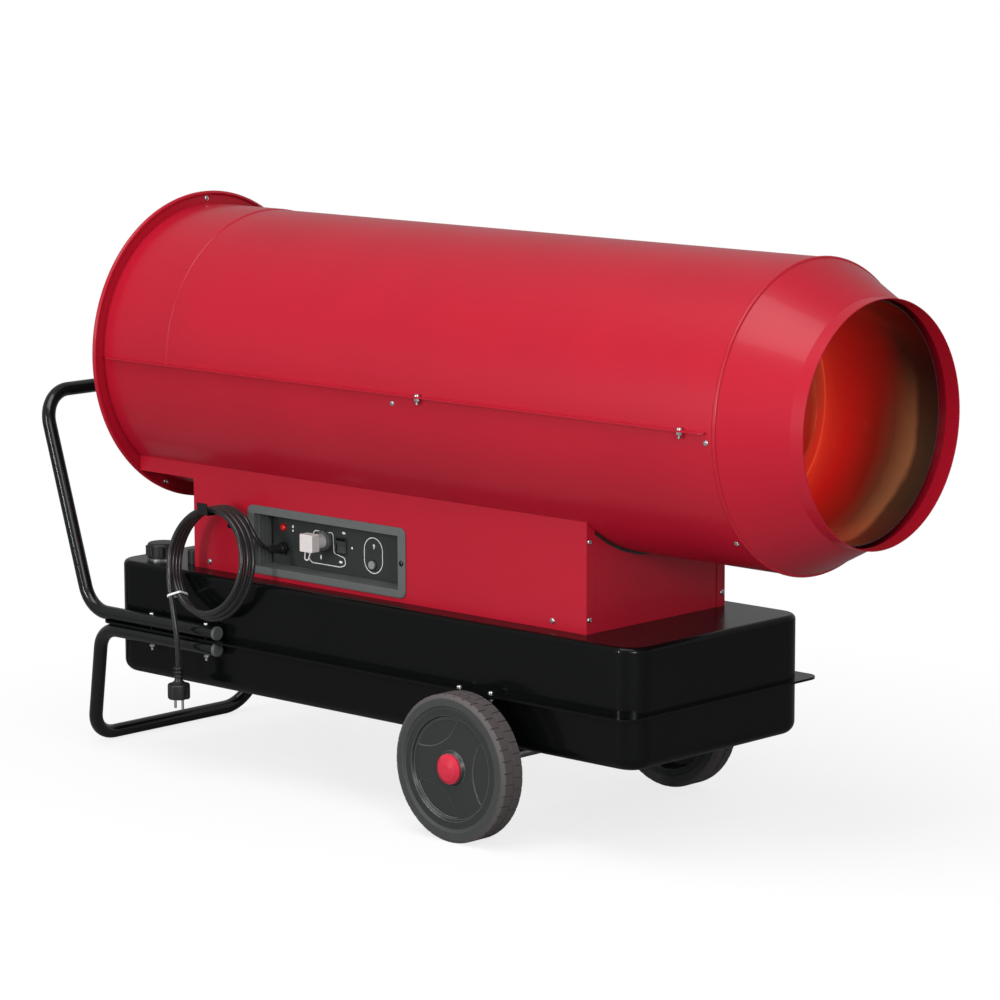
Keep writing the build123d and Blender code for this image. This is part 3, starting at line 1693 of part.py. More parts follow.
keep(axle_brackets, "axle_brackets")

# Wheels: a tyre with two rows of blocks, a hub with three shallow lens hollows, and a cap

wheel_axis = Axis((axle_x, 0, wheel_radius), (0, 1, 0))
wheel_plane = Plane(origin=(axle_x, 0, wheel_radius), x_dir=(0, 1, 0), z_dir=(1, 0, 0))
rim_radius = wheel_radius - tyre_wall
hub_face = wheel_outer_face - hub_inset
pattern_radius = rim_radius - hub_rim_width
lens_radius = pattern_radius - lens_margin


def wheel_turn(side, outline, mode=Mode.ADD):
    # A profile of (distance from the middle of the object, radius) turned about the axle.
    with BuildSketch(wheel_plane) as profile:
        with BuildLine():
            Polyline([(side * y, r) for y, r in outline], close=True)
        make_face()
    revolve(profile.sketch, axis=wheel_axis, mode=mode)


def wheel_face(side, distance):
    # The plane across the wheel at a distance from the middle, facing outwards.
    return Plane(origin=(axle_x, side * distance, wheel_radius), x_dir=(1, 0, 0), z_dir=(0, side, 0))


def cut_tread(side):
    # The central groove and the slots between the blocks, staggered from row to row.
    middle = wheel_inner_face + wheel_width / 2
    wheel_turn(
        side,
        [
            (middle - groove_width / 2, wheel_radius - tread_depth),
            (middle - groove_width / 2, wheel_radius + cut_over),
            (middle + groove_width / 2, wheel_radius + cut_over),
            (middle + groove_width / 2, wheel_radius - tread_depth),
        ],
        Mode.SUBTRACT,
    )
    half_block = 180 / tread_blocks
    for start, offset_turn in ((wheel_inner_face - cut_over, 0.0), (middle, half_block)):
        with BuildSketch(wheel_face(side, start)) as slots:
            with PolarLocations(wheel_radius, tread_blocks, start_angle=offset_turn):
                Rectangle(2 * tread_depth, slot_width)
        extrude(slots.sketch, amount=wheel_width / 2 + cut_over, mode=Mode.SUBTRACT)


for side, name in ((-1, "near"), (1, "far")):
    with BuildPart() as tyre:
        wheel_turn(
            side,
            [
                (wheel_inner_face + tyre_bead_inset, rim_radius),
                (wheel_inner_face, rim_radius + tyre_bead_rise),
                (wheel_inner_face, wheel_radius - tyre_shoulder),
                (wheel_inner_face + tyre_shoulder_width, wheel_radius),
                (wheel_outer_face - tyre_shoulder_width, wheel_radius),
                (wheel_outer_face, wheel_radius - tyre_shoulder),
                (wheel_outer_face, rim_radius + tyre_bead_rise),
                (wheel_outer_face - tyre_bead_inset, rim_radius),
            ],
        )
        cut_tread(side)
    keep(tyre, f"{name}_tyre")

    with BuildPart() as hub:
        bore = axle_radius + hub_bore_clearance
        wheel_turn(
            side,
            [
                (wheel_inner_face + hub_boss_inset, bore),
                (wheel_inner_face + hub_boss_inset, hub_boss_radius),
                (hub_face - hub_dish - hub_web, hub_boss_radius),
                (hub_face - hub_dish - hub_web, pattern_radius),
                (wheel_inner_face + hub_rim_inset, pattern_radius + hub_rim_draft),
                (wheel_inner_face + hub_rim_inset, rim_radius - slip_gap),
                (hub_face, rim_radius - slip_gap),
                (hub_face, pattern_radius),
                (hub_face - hub_dish, pattern_radius - hub_dish_draft),
                (hub_face - hub_dish, hub_boss_radius + hub_boss_flare),
                (hub_face, hub_boss_radius + hub_boss_step),
                (hub_face, bore),
            ],
        )
        for turn in lens_angles:
            with BuildSketch(wheel_face(side, hub_face - hub_dish)) as lens:
                Circle(lens_radius)
                with Locations(Location((0, 0), turn)):
                    with Locations((lens_radius + lens_inner, 0)):
                        Circle(lens_radius, mode=Mode.INTERSECT)
            extrude(lens.sketch, amount=-lens_depth, mode=Mode.SUBTRACT)
    keep(hub, f"{name}_hub")

    with BuildPart() as cap:
        wheel_turn(
            side,
            [
                (hub_face + cap_clearance, axle_radius + bearing_clearance),
                (hub_face + cap_clearance, cap_radius),
                (hub_face + cap_skirt, cap_radius),
                (wheel_outer_face + cap_shoulder_proud, cap_shoulder_radius),
                (wheel_outer_face + cap_proud, cap_flat_radius),
                (wheel_outer_face + cap_proud, 0),
                (wheel_outer_face, 0),
                (wheel_outer_face, axle_radius + bearing_clearance),
            ],
        )
    keep(cap, f"{name}_cap")

# Bolts and nuts of the tubes, the axle brackets and the barrel's seam


def bolt_with_nut(x, y, head_seat, nut_seat):
    # A bolt from a seat on top down through a nut under the lower seat.
    rod((x, y, nut_seat - nut_height - bolt_tip), (x, y, head_seat), bolt_radius)
    rod((x, y, head_seat), (x, y, head_seat + bolt_head_height), bolt_head_radius)
    with BuildSketch(Plane.XY.offset(nut_seat - nut_height)) as nut:
        with Locations((x, y)):
            RegularPolygon(bolt_head_radius, 6)
    extrude(nut.sketch, amount=nut_height)


with BuildPart() as bolts_and_nuts:
    for y in (-tube_offset, tube_offset):
        for x in tube_bolt_x:
            bolt_with_nut(x, y, handle_z + tube_radius, leg_z - tube_radius)
        for x in (axle_x - bracket_bolt_spread, axle_x + bracket_bolt_spread):
            bolt_with_nut(x, y, tank_seam + tank_sheet, bracket_top - bracket_plate)
    for side in (-1, 1):
        for x in seam_bolt_x:
            middle = side * (barrel_radius + seam_lip_width / 2)
            bolt_with_nut(x, middle, axis_height + barrel_sheet, axis_height - barrel_sheet)
keep(bolts_and_nuts, "bolts_and_nuts")


def pan_screw(seat, outward):
    # A domed screw: its head stands on the seat and its shank goes in through the sheet.
    out = Vector(*outward).normalized()
    place = Vector(*seat)
    rod(tuple(place - out * screw_length), tuple(place), screw_shank_radius)
    rod(tuple(place), tuple(place + out * screw_head_height), screw_head_radius)


with BuildPart() as panel_screws:
    for angle in cone_screw_angles:
        outward = Vector(*on_barrel(0, 1, angle)) - Vector(0, 0, axis_height)
        pan_screw(on_barrel(cone_screw_x, barrel_radius, angle), outward)
    for angle in ring_screw_angles:
        seat = on_barrel(barrel_rear, ring_screw_radius, angle)
        pan_screw(seat, (1, 0, 0))
    for angle in seam_screw_angles:
        outward = Vector(*on_barrel(0, 1, angle)) - Vector(0, 0, axis_height)
        pan_screw(on_barrel(seam_screw_x, barrel_radius, angle), outward)
    for side in (-1, 1):
        for x in side_screw_x:
            pan_screw((x, side * box_half_width, side_screw_z), (0, side, 0))
        for z in front_screw_z:
            pan_screw((box_front, side * front_screw_y, z), (1, 0, 0))
    for x, z in bezel_screws:
        pan_screw((x, bezel_face, z), (0, -1, 0))
    pan_screw((hook_screw[0], hook_face - hook_sheet, hook_screw[1]), (0, -1, 0))
keep(panel_screws, "panel_screws")
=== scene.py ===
from math import cos, pi, radians, sin

import bmesh
import bpy
from mathutils import Matrix, Vector


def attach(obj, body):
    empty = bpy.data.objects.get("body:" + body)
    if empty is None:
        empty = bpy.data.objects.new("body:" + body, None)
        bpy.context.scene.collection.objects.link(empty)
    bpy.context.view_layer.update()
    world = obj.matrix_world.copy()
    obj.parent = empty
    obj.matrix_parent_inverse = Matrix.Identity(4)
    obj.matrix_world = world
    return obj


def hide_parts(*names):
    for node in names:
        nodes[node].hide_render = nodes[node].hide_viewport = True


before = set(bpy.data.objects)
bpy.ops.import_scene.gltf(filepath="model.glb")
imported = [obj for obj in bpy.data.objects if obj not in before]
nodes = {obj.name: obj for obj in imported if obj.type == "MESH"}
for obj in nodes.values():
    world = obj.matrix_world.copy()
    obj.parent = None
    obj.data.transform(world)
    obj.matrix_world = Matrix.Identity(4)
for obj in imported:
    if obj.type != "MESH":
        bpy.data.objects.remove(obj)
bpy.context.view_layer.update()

scene = bpy.context.scene
mm = 0.001                  # a millimetre in Blender's metres
sharpAngle = radians(22)    # an edge that turns by more than this stays sharp
axisHeight, barrelRadius = 731.0, 255.0    # of the heater's barrel, in millimetres


def addObject(name, data):
    made = bpy.data.objects.new(name, data)
    scene.collection.objects.link(made)
    return made


def evenTurns(count, offset=0.0):
    # The angles of equal steps round a full turn. offset is a share of a step.
    return [2 * pi * (index + offset) / count for index in range(count)]


# The camera stands low in front of the outlet's near side, as in the photograph.
# Its place is in metres, its turns are in degrees, and its lens and sensor are in millimetres.
cameraSetup = {
    "place": (4.7505, -5.0109, 1.6435), "azimuth": 43.14, "elevation": 9.28, "roll": -0.138,
    "lens": 146.06, "sensor": 36.0,
}


def makeCamera(setup):
    turn, rise, roll = (radians(setup[key]) for key in ("azimuth", "elevation", "roll"))
    ahead = Vector((-sin(turn) * cos(rise), cos(turn) * cos(rise), -sin(rise)))
    right = Vector((cos(turn), sin(turn), 0))
    up = right.cross(ahead)
    tilted = right * cos(roll) + up * sin(roll)
    data = bpy.data.cameras.new("camera")
    data.lens = setup["lens"]
    data.sensor_width = setup["sensor"]
    camera = addObject("camera", data)
    axes = Matrix((tilted, tilted.cross(ahead), -ahead)).transposed()
    camera.matrix_world = Matrix.Translation(setup["place"]) @ axes.to_4x4()
    scene.camera = camera


makeCamera(cameraSetup)
print("stage: camera")

# The mains cord: out of the gland, three and a third loops on the hook, and the hanging end.
# Lengths are in millimetres and angles in degrees. The points are those of the solid cord.
cordPlan = {
    "diameter": 9.5,
    "length": 2265,
    # Where the loops hang, and the radius of the first
    "coilX": -420, "hang": 480, "back": -200, "radius": 98,
    # What a turn loses in radius, how far it stands off the one before, and the lean as it drops
    "shrink": 3, "pitch": 11, "lean": 0.19,
    # The coil's first and last angle from its top, and the angle between two control points
    "start": -20, "end": 1180, "step": 30,
    # The points given one by one, and how far from the coil the points of its two straight ends are
    "lead": [(-338, -149, 409), (-338, -164, 409), (-339, -185, 416), (-344, -200, 433),
             (-354, -205, 454)],
    "leadRuns": (23.5, 9.5),
    "tailRuns": (9.5, 35.5),
    "tail": [(-484, -268, 287), (-473, -269, 232), (-473, -269, 198)],
    # How finely the line and the jacket's round are divided
    "lineSteps": 10, "roundSteps": 7,
}
smallTurn = 0.01    # degrees, to find which way the coil runs


def coilPoint(angle, spread=1.0):
    plan = cordPlan
    turn = (angle - plan["start"]) / 360
    radius = plan["radius"] - plan["shrink"] * turn
    drop = radius - spread * radius * cos(radians(angle))
    out = plan["back"] - plan["pitch"] * turn - plan["lean"] * drop
    return Vector((plan["coilX"] - spread * radius * sin(radians(angle)), out, plan["hang"] - drop))


def coilHeading(angle):
    return (coilPoint(angle + smallTurn) - coilPoint(angle - smallTurn)).normalized()


def cordRoute():
    # The control points stand outside the loop, because the spline runs inside them.
    plan = cordPlan
    half = plan["step"] / 2
    spread = 1 / cos(radians(half))
    head, tail = coilPoint(plan["start"]), coilPoint(plan["end"])
    route = [Vector(point) for point in plan["lead"]]
    route += [head - coilHeading(plan["start"]) * run for run in plan["leadRuns"]]
    count = round((plan["end"] - plan["start"]) / plan["step"])
    route += [coilPoint(plan["start"] + half + plan["step"] * index, spread) for index in range(count)]
    route += [tail + coilHeading(plan["end"]) * run for run in plan["tailRuns"]]
    route += [Vector(point) for point in plan["tail"]]
    return [point * mm for point in route]


def makeCord():
    # The cord, and the points of its smooth line before it gets its thickness.
    route = cordRoute()
    data = bpy.data.curves.new("mainsCord", "CURVE")
    data.dimensions = "3D"
    spline = data.splines.new("NURBS")
    spline.points.add(len(route) - 1)
    for point, place in zip(spline.points, route):
        point.co = (*place, 1)
    spline.order_u = 3
    spline.use_endpoint_u = True
    data.resolution_u = cordPlan["lineSteps"]
    cord = addObject("mainsCord", data)
    line = bpy.data.meshes.new_from_object(cord)
    track = [vertex.co.copy() for vertex in line.vertices]
    data.bevel_depth = cordPlan["diameter"] / 2 * mm
    data.bevel_resolution = cordPlan["roundSteps"]
    data.use_fill_caps = True
    return cord, track


mainsCord, cordTrack = makeCord()
print("stage: cord,", round(sum((b - a).length for a, b in zip(cordTrack, cordTrack[1:])), 3), "m")

# Finishes: the detail of the two noises, and the rays that round an edge
patchDetail, grainDetail, edgeSamples = 4.0, 2.0, 4
mixFirst, mixSecond, mixResult = 6, 7, 2    # the colour sockets of a Mix node


def toLinear(hexColour):
    # An sRGB colour such as "B0182D" as the linear values that a shader takes.
    parts = [int(hexColour[index:index + 2], 16) / 255 for index in (0, 2, 4)]
    return tuple(p / 12.92 if p <= 0.04045 else ((p + 0.055) / 1.055) ** 2.4 for p in parts) + (1.0,)


def addNode(tree, kind, inputs=None, **settings):
    # A node with its settings, its values and its links. A colour's value may be sRGB hex.
    node = tree.nodes.new(kind)
    for name, value in settings.items():
        setattr(node, name, value)
    for name, value in (inputs or {}).items():
        socket = node.inputs[name]
        if isinstance(value, bpy.types.NodeSocket):
            tree.links.new(value, socket)
        elif socket.type == "RGBA" and isinstance(value, str):
            socket.default_value = toLinear(value)
        else:
            socket.default_value = value
    return node


def blankMaterial(name):
    material = bpy.data.materials.new(name)
    material.use_nodes = True
    material.node_tree.nodes.clear()
    return material, material.node_tree


def blendColours(tree, value, limits, first, second, share=1.0, easing="LINEAR"):
    # The first colour turns into the second, or a share of it, as the value runs between the limits.
    reached = addNode(tree, "ShaderNodeMapRange",
                      {"Value": value, "From Min": limits[0], "From Max": limits[1], "To Max": share},
                      interpolation_type=easing).outputs[0]
    return addNode(tree, "ShaderNodeMix", {"Factor": reached, mixFirst: first, mixSecond: second},
                   data_type="RGBA").outputs[mixResult]


def distanceFrom(tree, place, point, across):
    # The distance from an axis through the point. across is 1 in each direction across the axis.
    offset = tuple(-part * counts for part, counts in zip(point, across))
    flat = addNode(tree, "ShaderNodeVectorMath", {0: place, 1: across, 2: offset},
                   operation="MULTIPLY_ADD").outputs[0]
    return addNode(tree, "ShaderNodeVectorMath", {0: flat}, operation="LENGTH").outputs["Value"]


def treadColour(tree, place, colour, tread):
    # The running surface is scuffed paler than the sidewall.
    radius = distanceFrom(tree, place, tread["axle"], (1, 0, 1))
    return blendColours(tree, radius, tread["limits"], colour, tread["colour"])


def paintedEdgeHighlights(tree, rounded, colour, edge):
    # Where the rounded normal leaves the face's own, the edge is painted pale: a painted highlight along
    # the moulding's edges.
    own = addNode(tree, "ShaderNodeNewGeometry").outputs["Normal"]
    alike = addNode(tree, "ShaderNodeVectorMath", {0: rounded, 1: own},
                    operation="DOT_PRODUCT").outputs["Value"]
    return blendColours(tree, alike, (1.0, edge["full"]), colour, edge["colour"], edge["share"])


def finish(name, look):
    # colour and shade mix in patches of patchMm, grainMm and grainDepth give the relief,
    # rough is the roughness of the smoothest and the dullest patches, edgeMm rounds the edges.
    material, tree = blankMaterial(name)
    place = addNode(tree, "ShaderNodeTexCoord").outputs["Object"]
    patches, grain = (
        addNode(tree, "ShaderNodeTexNoise",
                {"Vector": place, "Scale": 1 / (size * mm), "Detail": detail}).outputs["Fac"]
        for size, detail in ((look["patchMm"], patchDetail), (look["grainMm"], grainDetail)))
    rounded = addNode(tree, "ShaderNodeBevel", {"Radius": look["edgeMm"] * mm},
                      samples=edgeSamples).outputs[0]
    colour = blendColours(tree, patches, (0.0, 1.0), look["colour"], look["shade"])
    if "tread" in look:
        colour = treadColour(tree, place, colour, look["tread"])
    if "paintedEdgeHighlight" in look:
        colour = paintedEdgeHighlights(tree, rounded, colour, look["paintedEdgeHighlight"])
    dull = addNode(tree, "ShaderNodeMapRange",
                   {"Value": patches, "To Min": look["rough"][0], "To Max": look["rough"][1]})
    bump = addNode(tree, "ShaderNodeBump",
                   {"Height": grain, "Distance": look["grainDepth"] * mm, "Strength": 1.0,
                    "Normal": rounded})
    shader = addNode(tree, "ShaderNodeBsdfPrincipled",
                     {"Base Color": colour, "Roughness": dull.outputs[0], "Normal": bump.outputs[0],
                      **look.get("sockets", {})})
    addNode(tree, "ShaderNodeOutputMaterial", {"Surface": shader.outputs[0]})
    return material


tubeGloss = {"Coat Weight": 0.3, "Coat Roughness": 0.06, "Specular IOR Level": 0.3}
tankGloss = {"Coat Weight": 0.18, "Coat Roughness": 0.08, "Specular IOR Level": 0.08}
paintGloss = {"Coat Weight": 0.12, "Coat Roughness": 0.08, "Specular IOR Level": 0.25}
bare = {"Metallic": 1.0}
looks = {
    # Powder coat over sheet steel: saturated, with a soft gloss and a slight orange peel
    "redPowderCoat": {"colour": "B0142A", "shade": "A21126", "patchMm": 180, "rough": (0.3, 0.38),
                      "grainMm": 4, "grainDepth": 0.01, "edgeMm": 0.8, "sockets": paintGloss},
    # Stoved enamel on the drawn tank: near black, with long soft reflections
    "blackEnamel": {"colour": "080A09", "shade": "050706", "patchMm": 120, "rough": (0.2, 0.3),
                    "grainMm": 6, "grainDepth": 0.012, "edgeMm": 1.2, "sockets": tankGloss},
    # Powder coat on the bent tubes: black with a hard thin highlight
    "blackTubeCoat": {"colour": "0A0C0C", "shade": "0E1010", "patchMm": 60, "rough": (0.18, 0.26),
                      "grainMm": 3, "grainDepth": 0.01, "edgeMm": 0.6, "sockets": tubeGloss},
    # Fine-textured powder coat on the control plate: flat dark green-grey
    "plateCoat": {"colour": "262B2A", "shade": "202423", "patchMm": 40, "rough": (0.5, 0.62),
                  "grainMm": 0.8, "grainDepth": 0.03, "edgeMm": 0.4},
    # Zinc plate on turned and pressed steel: pale, slightly cloudy
    "zincPlate": {"colour": "C9CBCC", "shade": "A9ABAD", "patchMm": 8, "rough": (0.22, 0.4),
                  "grainMm": 1.2, "grainDepth": 0.01, "edgeMm": 0.3, "sockets": bare},
    # Hot-dip galvanised sheet: grey spangle
    "galvanisedSheet": {"colour": "B4B7B8", "shade": "8E9294", "patchMm": 14, "rough": (0.32, 0.5),
                        "grainMm": 3, "grainDepth": 0.02, "edgeMm": 0.5, "sockets": bare},
    # Bright drawn wire of the guard: even, with a small clean highlight
    "brightWire": {"colour": "BFC2C4", "shade": "9FA2A4", "patchMm": 10, "rough": (0.24, 0.36),
                   "grainMm": 1, "grainDepth": 0.01, "edgeMm": 0.2, "sockets": bare},
    # Sand-cast aluminium: pale and pebbly
    "castAluminium": {"colour": "B2B4B6", "shade": "96989A", "patchMm": 20, "rough": (0.42, 0.6),
                      "grainMm": 1.5, "grainDepth": 0.08, "edgeMm": 0.8, "sockets": bare},
    # Satin grey paint on the motor: even, a little dusty
    "motorPaint": {"colour": "5C6266", "shade": "4C5256", "patchMm": 30, "rough": (0.38, 0.55),
                   "grainMm": 2, "grainDepth": 0.03, "edgeMm": 0.8},
    # Turned brass: warm, with slight tarnish
    "turnedBrass": {"colour": "C09A50", "shade": "9C7838", "patchMm": 12, "rough": (0.2, 0.38),
                    "grainMm": 1, "grainDepth": 0.01, "edgeMm": 0.3, "sockets": bare},
    # Drawn copper tube: pink-brown, dulled by handling
    "drawnCopper": {"colour": "B87455", "shade": "8C4E36", "patchMm": 18, "rough": (0.25, 0.42),
                    "grainMm": 1, "grainDepth": 0.01, "edgeMm": 0.3, "sockets": bare},
    # Glazed ceramic: white and wet
    "glazedCeramic": {"colour": "EDEAE2", "shade": "E2DDD2", "patchMm": 10, "rough": (0.1, 0.18),
                      "grainMm": 2, "grainDepth": 0.01, "edgeMm": 0.3},
    # Amber nylon bowl of the filter: smooth and slightly yellow
    "amberNylon": {"colour": "C8B478", "shade": "B8A060", "patchMm": 25, "rough": (0.15, 0.28),
                   "grainMm": 2, "grainDepth": 0.01, "edgeMm": 0.8},
    # Injection-moulded ABS of the recess frame: mid grey with a fine spark-eroded grain
    "greyAbs": {"colour": "5C5E5E", "shade": "525454", "patchMm": 35, "rough": (0.42, 0.55),
                "grainMm": 0.9, "grainDepth": 0.04, "edgeMm": 1.0},
    # Moulded black polyamide of the caps, switch and gland: dull with small soft highlights
    "blackPolyamide": {"colour": "1C1D1D", "shade": "151616", "patchMm": 20, "rough": (0.34, 0.48),
                       "grainMm": 1, "grainDepth": 0.03, "edgeMm": 0.7},
    # Moulded polypropylene of the hubs: dark grey, waxy, with flow marks
    "hubPolypropylene": {"colour": "292C2C", "shade": "232626", "patchMm": 45, "rough": (0.3, 0.42),
                         "grainMm": 2.5, "grainDepth": 0.03, "edgeMm": 1.4,
                         # The pale edges of the hubs are a painted highlight.
                         "paintedEdgeHighlight": {"full": 0.9, "share": 0.8, "colour": "7C7F7F"}},
    # Moulded tyre rubber: grey-brown bloom on the blocks. The tread's axle and radii are in metres.
    "tyreRubber": {"colour": "383B3A", "shade": "2F3231", "patchMm": 18, "rough": (0.5, 0.68),
                   "grainMm": 1.2, "grainDepth": 0.06, "edgeMm": 1.0,
                   "tread": {"axle": (0.217, 0.0, 0.125), "limits": (0.1175, 0.1195), "colour": "504B4B"},
                   # The pale edges of the tread blocks are a painted highlight.
                   "paintedEdgeHighlight": {"full": 0.85, "share": 0.7, "colour": "7A7676"}},
    # Smoky polycarbonate of the rocker: glossy, and a paler grey than its frame
    "smokyPolycarbonate": {"colour": "434747", "shade": "383C3C", "patchMm": 6, "rough": (0.16, 0.3),
                           "grainMm": 1, "grainDepth": 0.02, "edgeMm": 0.8},
    # Pale grey nylon of the reset button: satin
    "greyNylon": {"colour": "8E9191", "shade": "808383", "patchMm": 5, "rough": (0.3, 0.42),
                  "grainMm": 0.8, "grainDepth": 0.02, "edgeMm": 0.7},
    # Black zinc plate on the bezel's screws: dark with a hard small highlight
    "blackZinc": {"colour": "3C3C42", "shade": "2C2C32", "patchMm": 5, "rough": (0.2, 0.32),
                  "grainMm": 1, "grainDepth": 0.01, "edgeMm": 0.3, "sockets": bare},
    # Moulded red polypropylene of the wheel caps: even and glossy
    "redPolypropylene": {"colour": "CC2840", "shade": "C2223A", "patchMm": 15, "rough": (0.2, 0.28),
                         "grainMm": 2, "grainDepth": 0.01, "edgeMm": 1.0},
    # Moulded polycarbonate of the thermostat plug: warm pale grey with a soft gloss
    "paleGreyPolycarbonate": {"colour": "DAD3D2", "shade": "CFC8C7", "patchMm": 12, "rough": (0.3, 0.4),
                              "grainMm": 1, "grainDepth": 0.02, "edgeMm": 0.8},
    # Extruded rubber of the cord, the trim and the seal: black, with a long smooth highlight
    "cordRubber": {"colour": "1A1B1B", "shade": "121313", "patchMm": 30, "rough": (0.2, 0.3),
                   "grainMm": 1.5, "grainDepth": 0.02, "edgeMm": 0.1, "sockets": {"Sheen Weight": 0.1}},
    # Natural nylon of the tie: milky white
    "naturalNylon": {"colour": "ECECE8", "shade": "E0E0DA", "patchMm": 6, "rough": (0.3, 0.4),
                     "grainMm": 1, "grainDepth": 0.01, "edgeMm": 0.2,
                     "sockets": {"Subsurface Weight": 0.1}},
    # Screen-printed ink on the control plate: flat matt white
    "whiteInk": {"colour": "E8EAE9", "shade": "DCDEDD", "patchMm": 5, "rough": (0.5, 0.6),
                 "grainMm": 0.6, "grainDepth": 0.01, "edgeMm": 0.05},
    # Clear red acrylic of the lamp's lens: glassy and deep in colour
    "lampLens": {"colour": "D01018", "shade": "B80810", "patchMm": 4, "rough": (0.05, 0.1),
                 "grainMm": 2, "grainDepth": 0.05, "edgeMm": 0.5, "sockets": {"Coat Weight": 1.0}},
}
materials = {name: finish(name, look) for name, look in looks.items()}

# Stainless of the chamber, heat-tinted brown at the mouth and then in red rings, with painted light: near
# the mouth the upper half is painted near black as painted shade, and a straw-coloured band on the lower
# half is a painted highlight.
# The tints run with the depth from the mouth, and on the baffle with the distance from the wall.
# Lengths are in metres, apart from those named Mm.
chamberTintAndLightPlan = {
    # The drum: x of its mouth and of its rear, its radius, and the thickness of its sheet
    "mouth": 0.842, "rear": -0.11, "wall": 0.196, "sheet": 0.0015,
    # The depth that the tints run over, and how much they move on for each metre inwards
    "depth": 0.42, "inwards": 6.0,
    # The tints of the drum's two halves, each with its place in the row from 0 to 1. The near-black stops
    # of the upper half are painted shade, and the straw stop of the lower half at 0.125 is a painted
    # highlight.
    "upper": [(0.0, "15110F"), (0.14, "33231B"), (0.26, "8A1C16"), (0.42, "AE1C18"), (0.55, "B02A1E"),
              (0.58, "C2603C"), (0.62, "9A402A"), (0.8, "8C3A22"), (1.0, "823820")],
    "lower": [(0.0, "3C342A"), (0.1, "5A4430"), (0.125, "B08055"), (0.22, "7C4630"), (0.3, "92241A"),
              (0.46, "BC1E1A"), (0.56, "C03424"), (0.59, "CC5A36"), (0.63, "B4281E"), (1.0, "A43A24")],
    # Heights from the axis between which the lower tints turn into the upper ones
    "turnOver": (-0.09, 0.1),
    # A slow drift, so that no ring is quite even
    "driftMm": 142.86, "driftDetail": 3.0, "driftMost": 0.04,
    # Fine scratches that run round the drum
    "scratchMm": 1.111, "scratchDepthMm": 0.004, "scratchDetail": 2.0,
    "scratchStretch": (1.0, 0.12, 0.12),
    "rough": (0.12, 0.24),
    "metal": 0.4,
    # A painted glow in the tints' own colours stands in for light passed on from wall to wall: the deep
    # walls never look black from the mouth.
    # It starts at the first tint, is full at the second, and has the third number's strength.
    "paintedDeepGlow": (0.12, 0.6, 0.42),
    # The cut edge of the drum is painted pale between these two x: its bare metal, and with it the thin
    # bright line of a painted highlight
    "rim": (0.8405, 0.8415), "rimColourAndHighlight": "A69B87",
    # The drum's outside is untinted: it starts at the first of these shares of the sheet's
    # thickness, and is full at the second
    "skin": (0.6, 0.3), "skinColour": "77716A",
}


def chamberTint(tree, place, x, radius):
    # How far along the row of tints a point is.
    plan = chamberTintAndLightPlan
    depth = addNode(tree, "ShaderNodeMapRange",
                    {"Value": x, "From Min": plan["mouth"], "From Max": plan["mouth"] - plan["depth"]})
    inwards = addNode(tree, "ShaderNodeMath",
                      {0: radius, 1: -plan["inwards"], 2: plan["inwards"] * plan["wall"]},
                      operation="MULTIPLY_ADD")
    noise = addNode(tree, "ShaderNodeTexNoise",
                    {"Vector": place, "Scale": 1 / (plan["driftMm"] * mm), "Detail": plan["driftDetail"]})
    drift = addNode(tree, "ShaderNodeMapRange",
                    {"Value": noise.outputs["Fac"], "To Min": -plan["driftMost"],
                     "To Max": plan["driftMost"]})
    level = addNode(tree, "ShaderNodeMath", {0: depth.outputs[0], 1: inwards.outputs[0]}, operation="ADD")
    return addNode(tree, "ShaderNodeMath", {0: level.outputs[0], 1: drift.outputs[0]},
                   operation="ADD").outputs[0]


def chamberOutside(tree, x, radius):
    # 1 on the outside of the drum's wall and of its rear plate, 0 inside.
    plan = chamberTintAndLightPlan
    start, full = (share * plan["sheet"] for share in plan["skin"])
    around = addNode(tree, "ShaderNodeMapRange",
                     {"Value": radius, "From Min": plan["wall"] - start, "From Max": plan["wall"] - full})
    behind = addNode(tree, "ShaderNodeMapRange",
                     {"Value": x, "From Min": plan["rear"] + start, "From Max": plan["rear"] + full})
    return addNode(tree, "ShaderNodeMath", {0: around.outputs[0], 1: behind.outputs[0]},
                   operation="MAXIMUM").outputs[0]


def tintAndPaintedLightColours(tree, tint, stops):
    # The colour of each tint, painted shade and painted highlight among them, from its stops.
    ramp = addNode(tree, "ShaderNodeValToRGB", {"Fac": tint})
    marks = ramp.color_ramp.elements
    for mark, (position, colour) in zip(marks, (stops[0], stops[-1])):
        mark.position, mark.color = position, toLinear(colour)
    for position, colour in stops[1:-1]:
        marks.new(position).color = toLinear(colour)
    return ramp.outputs[0]
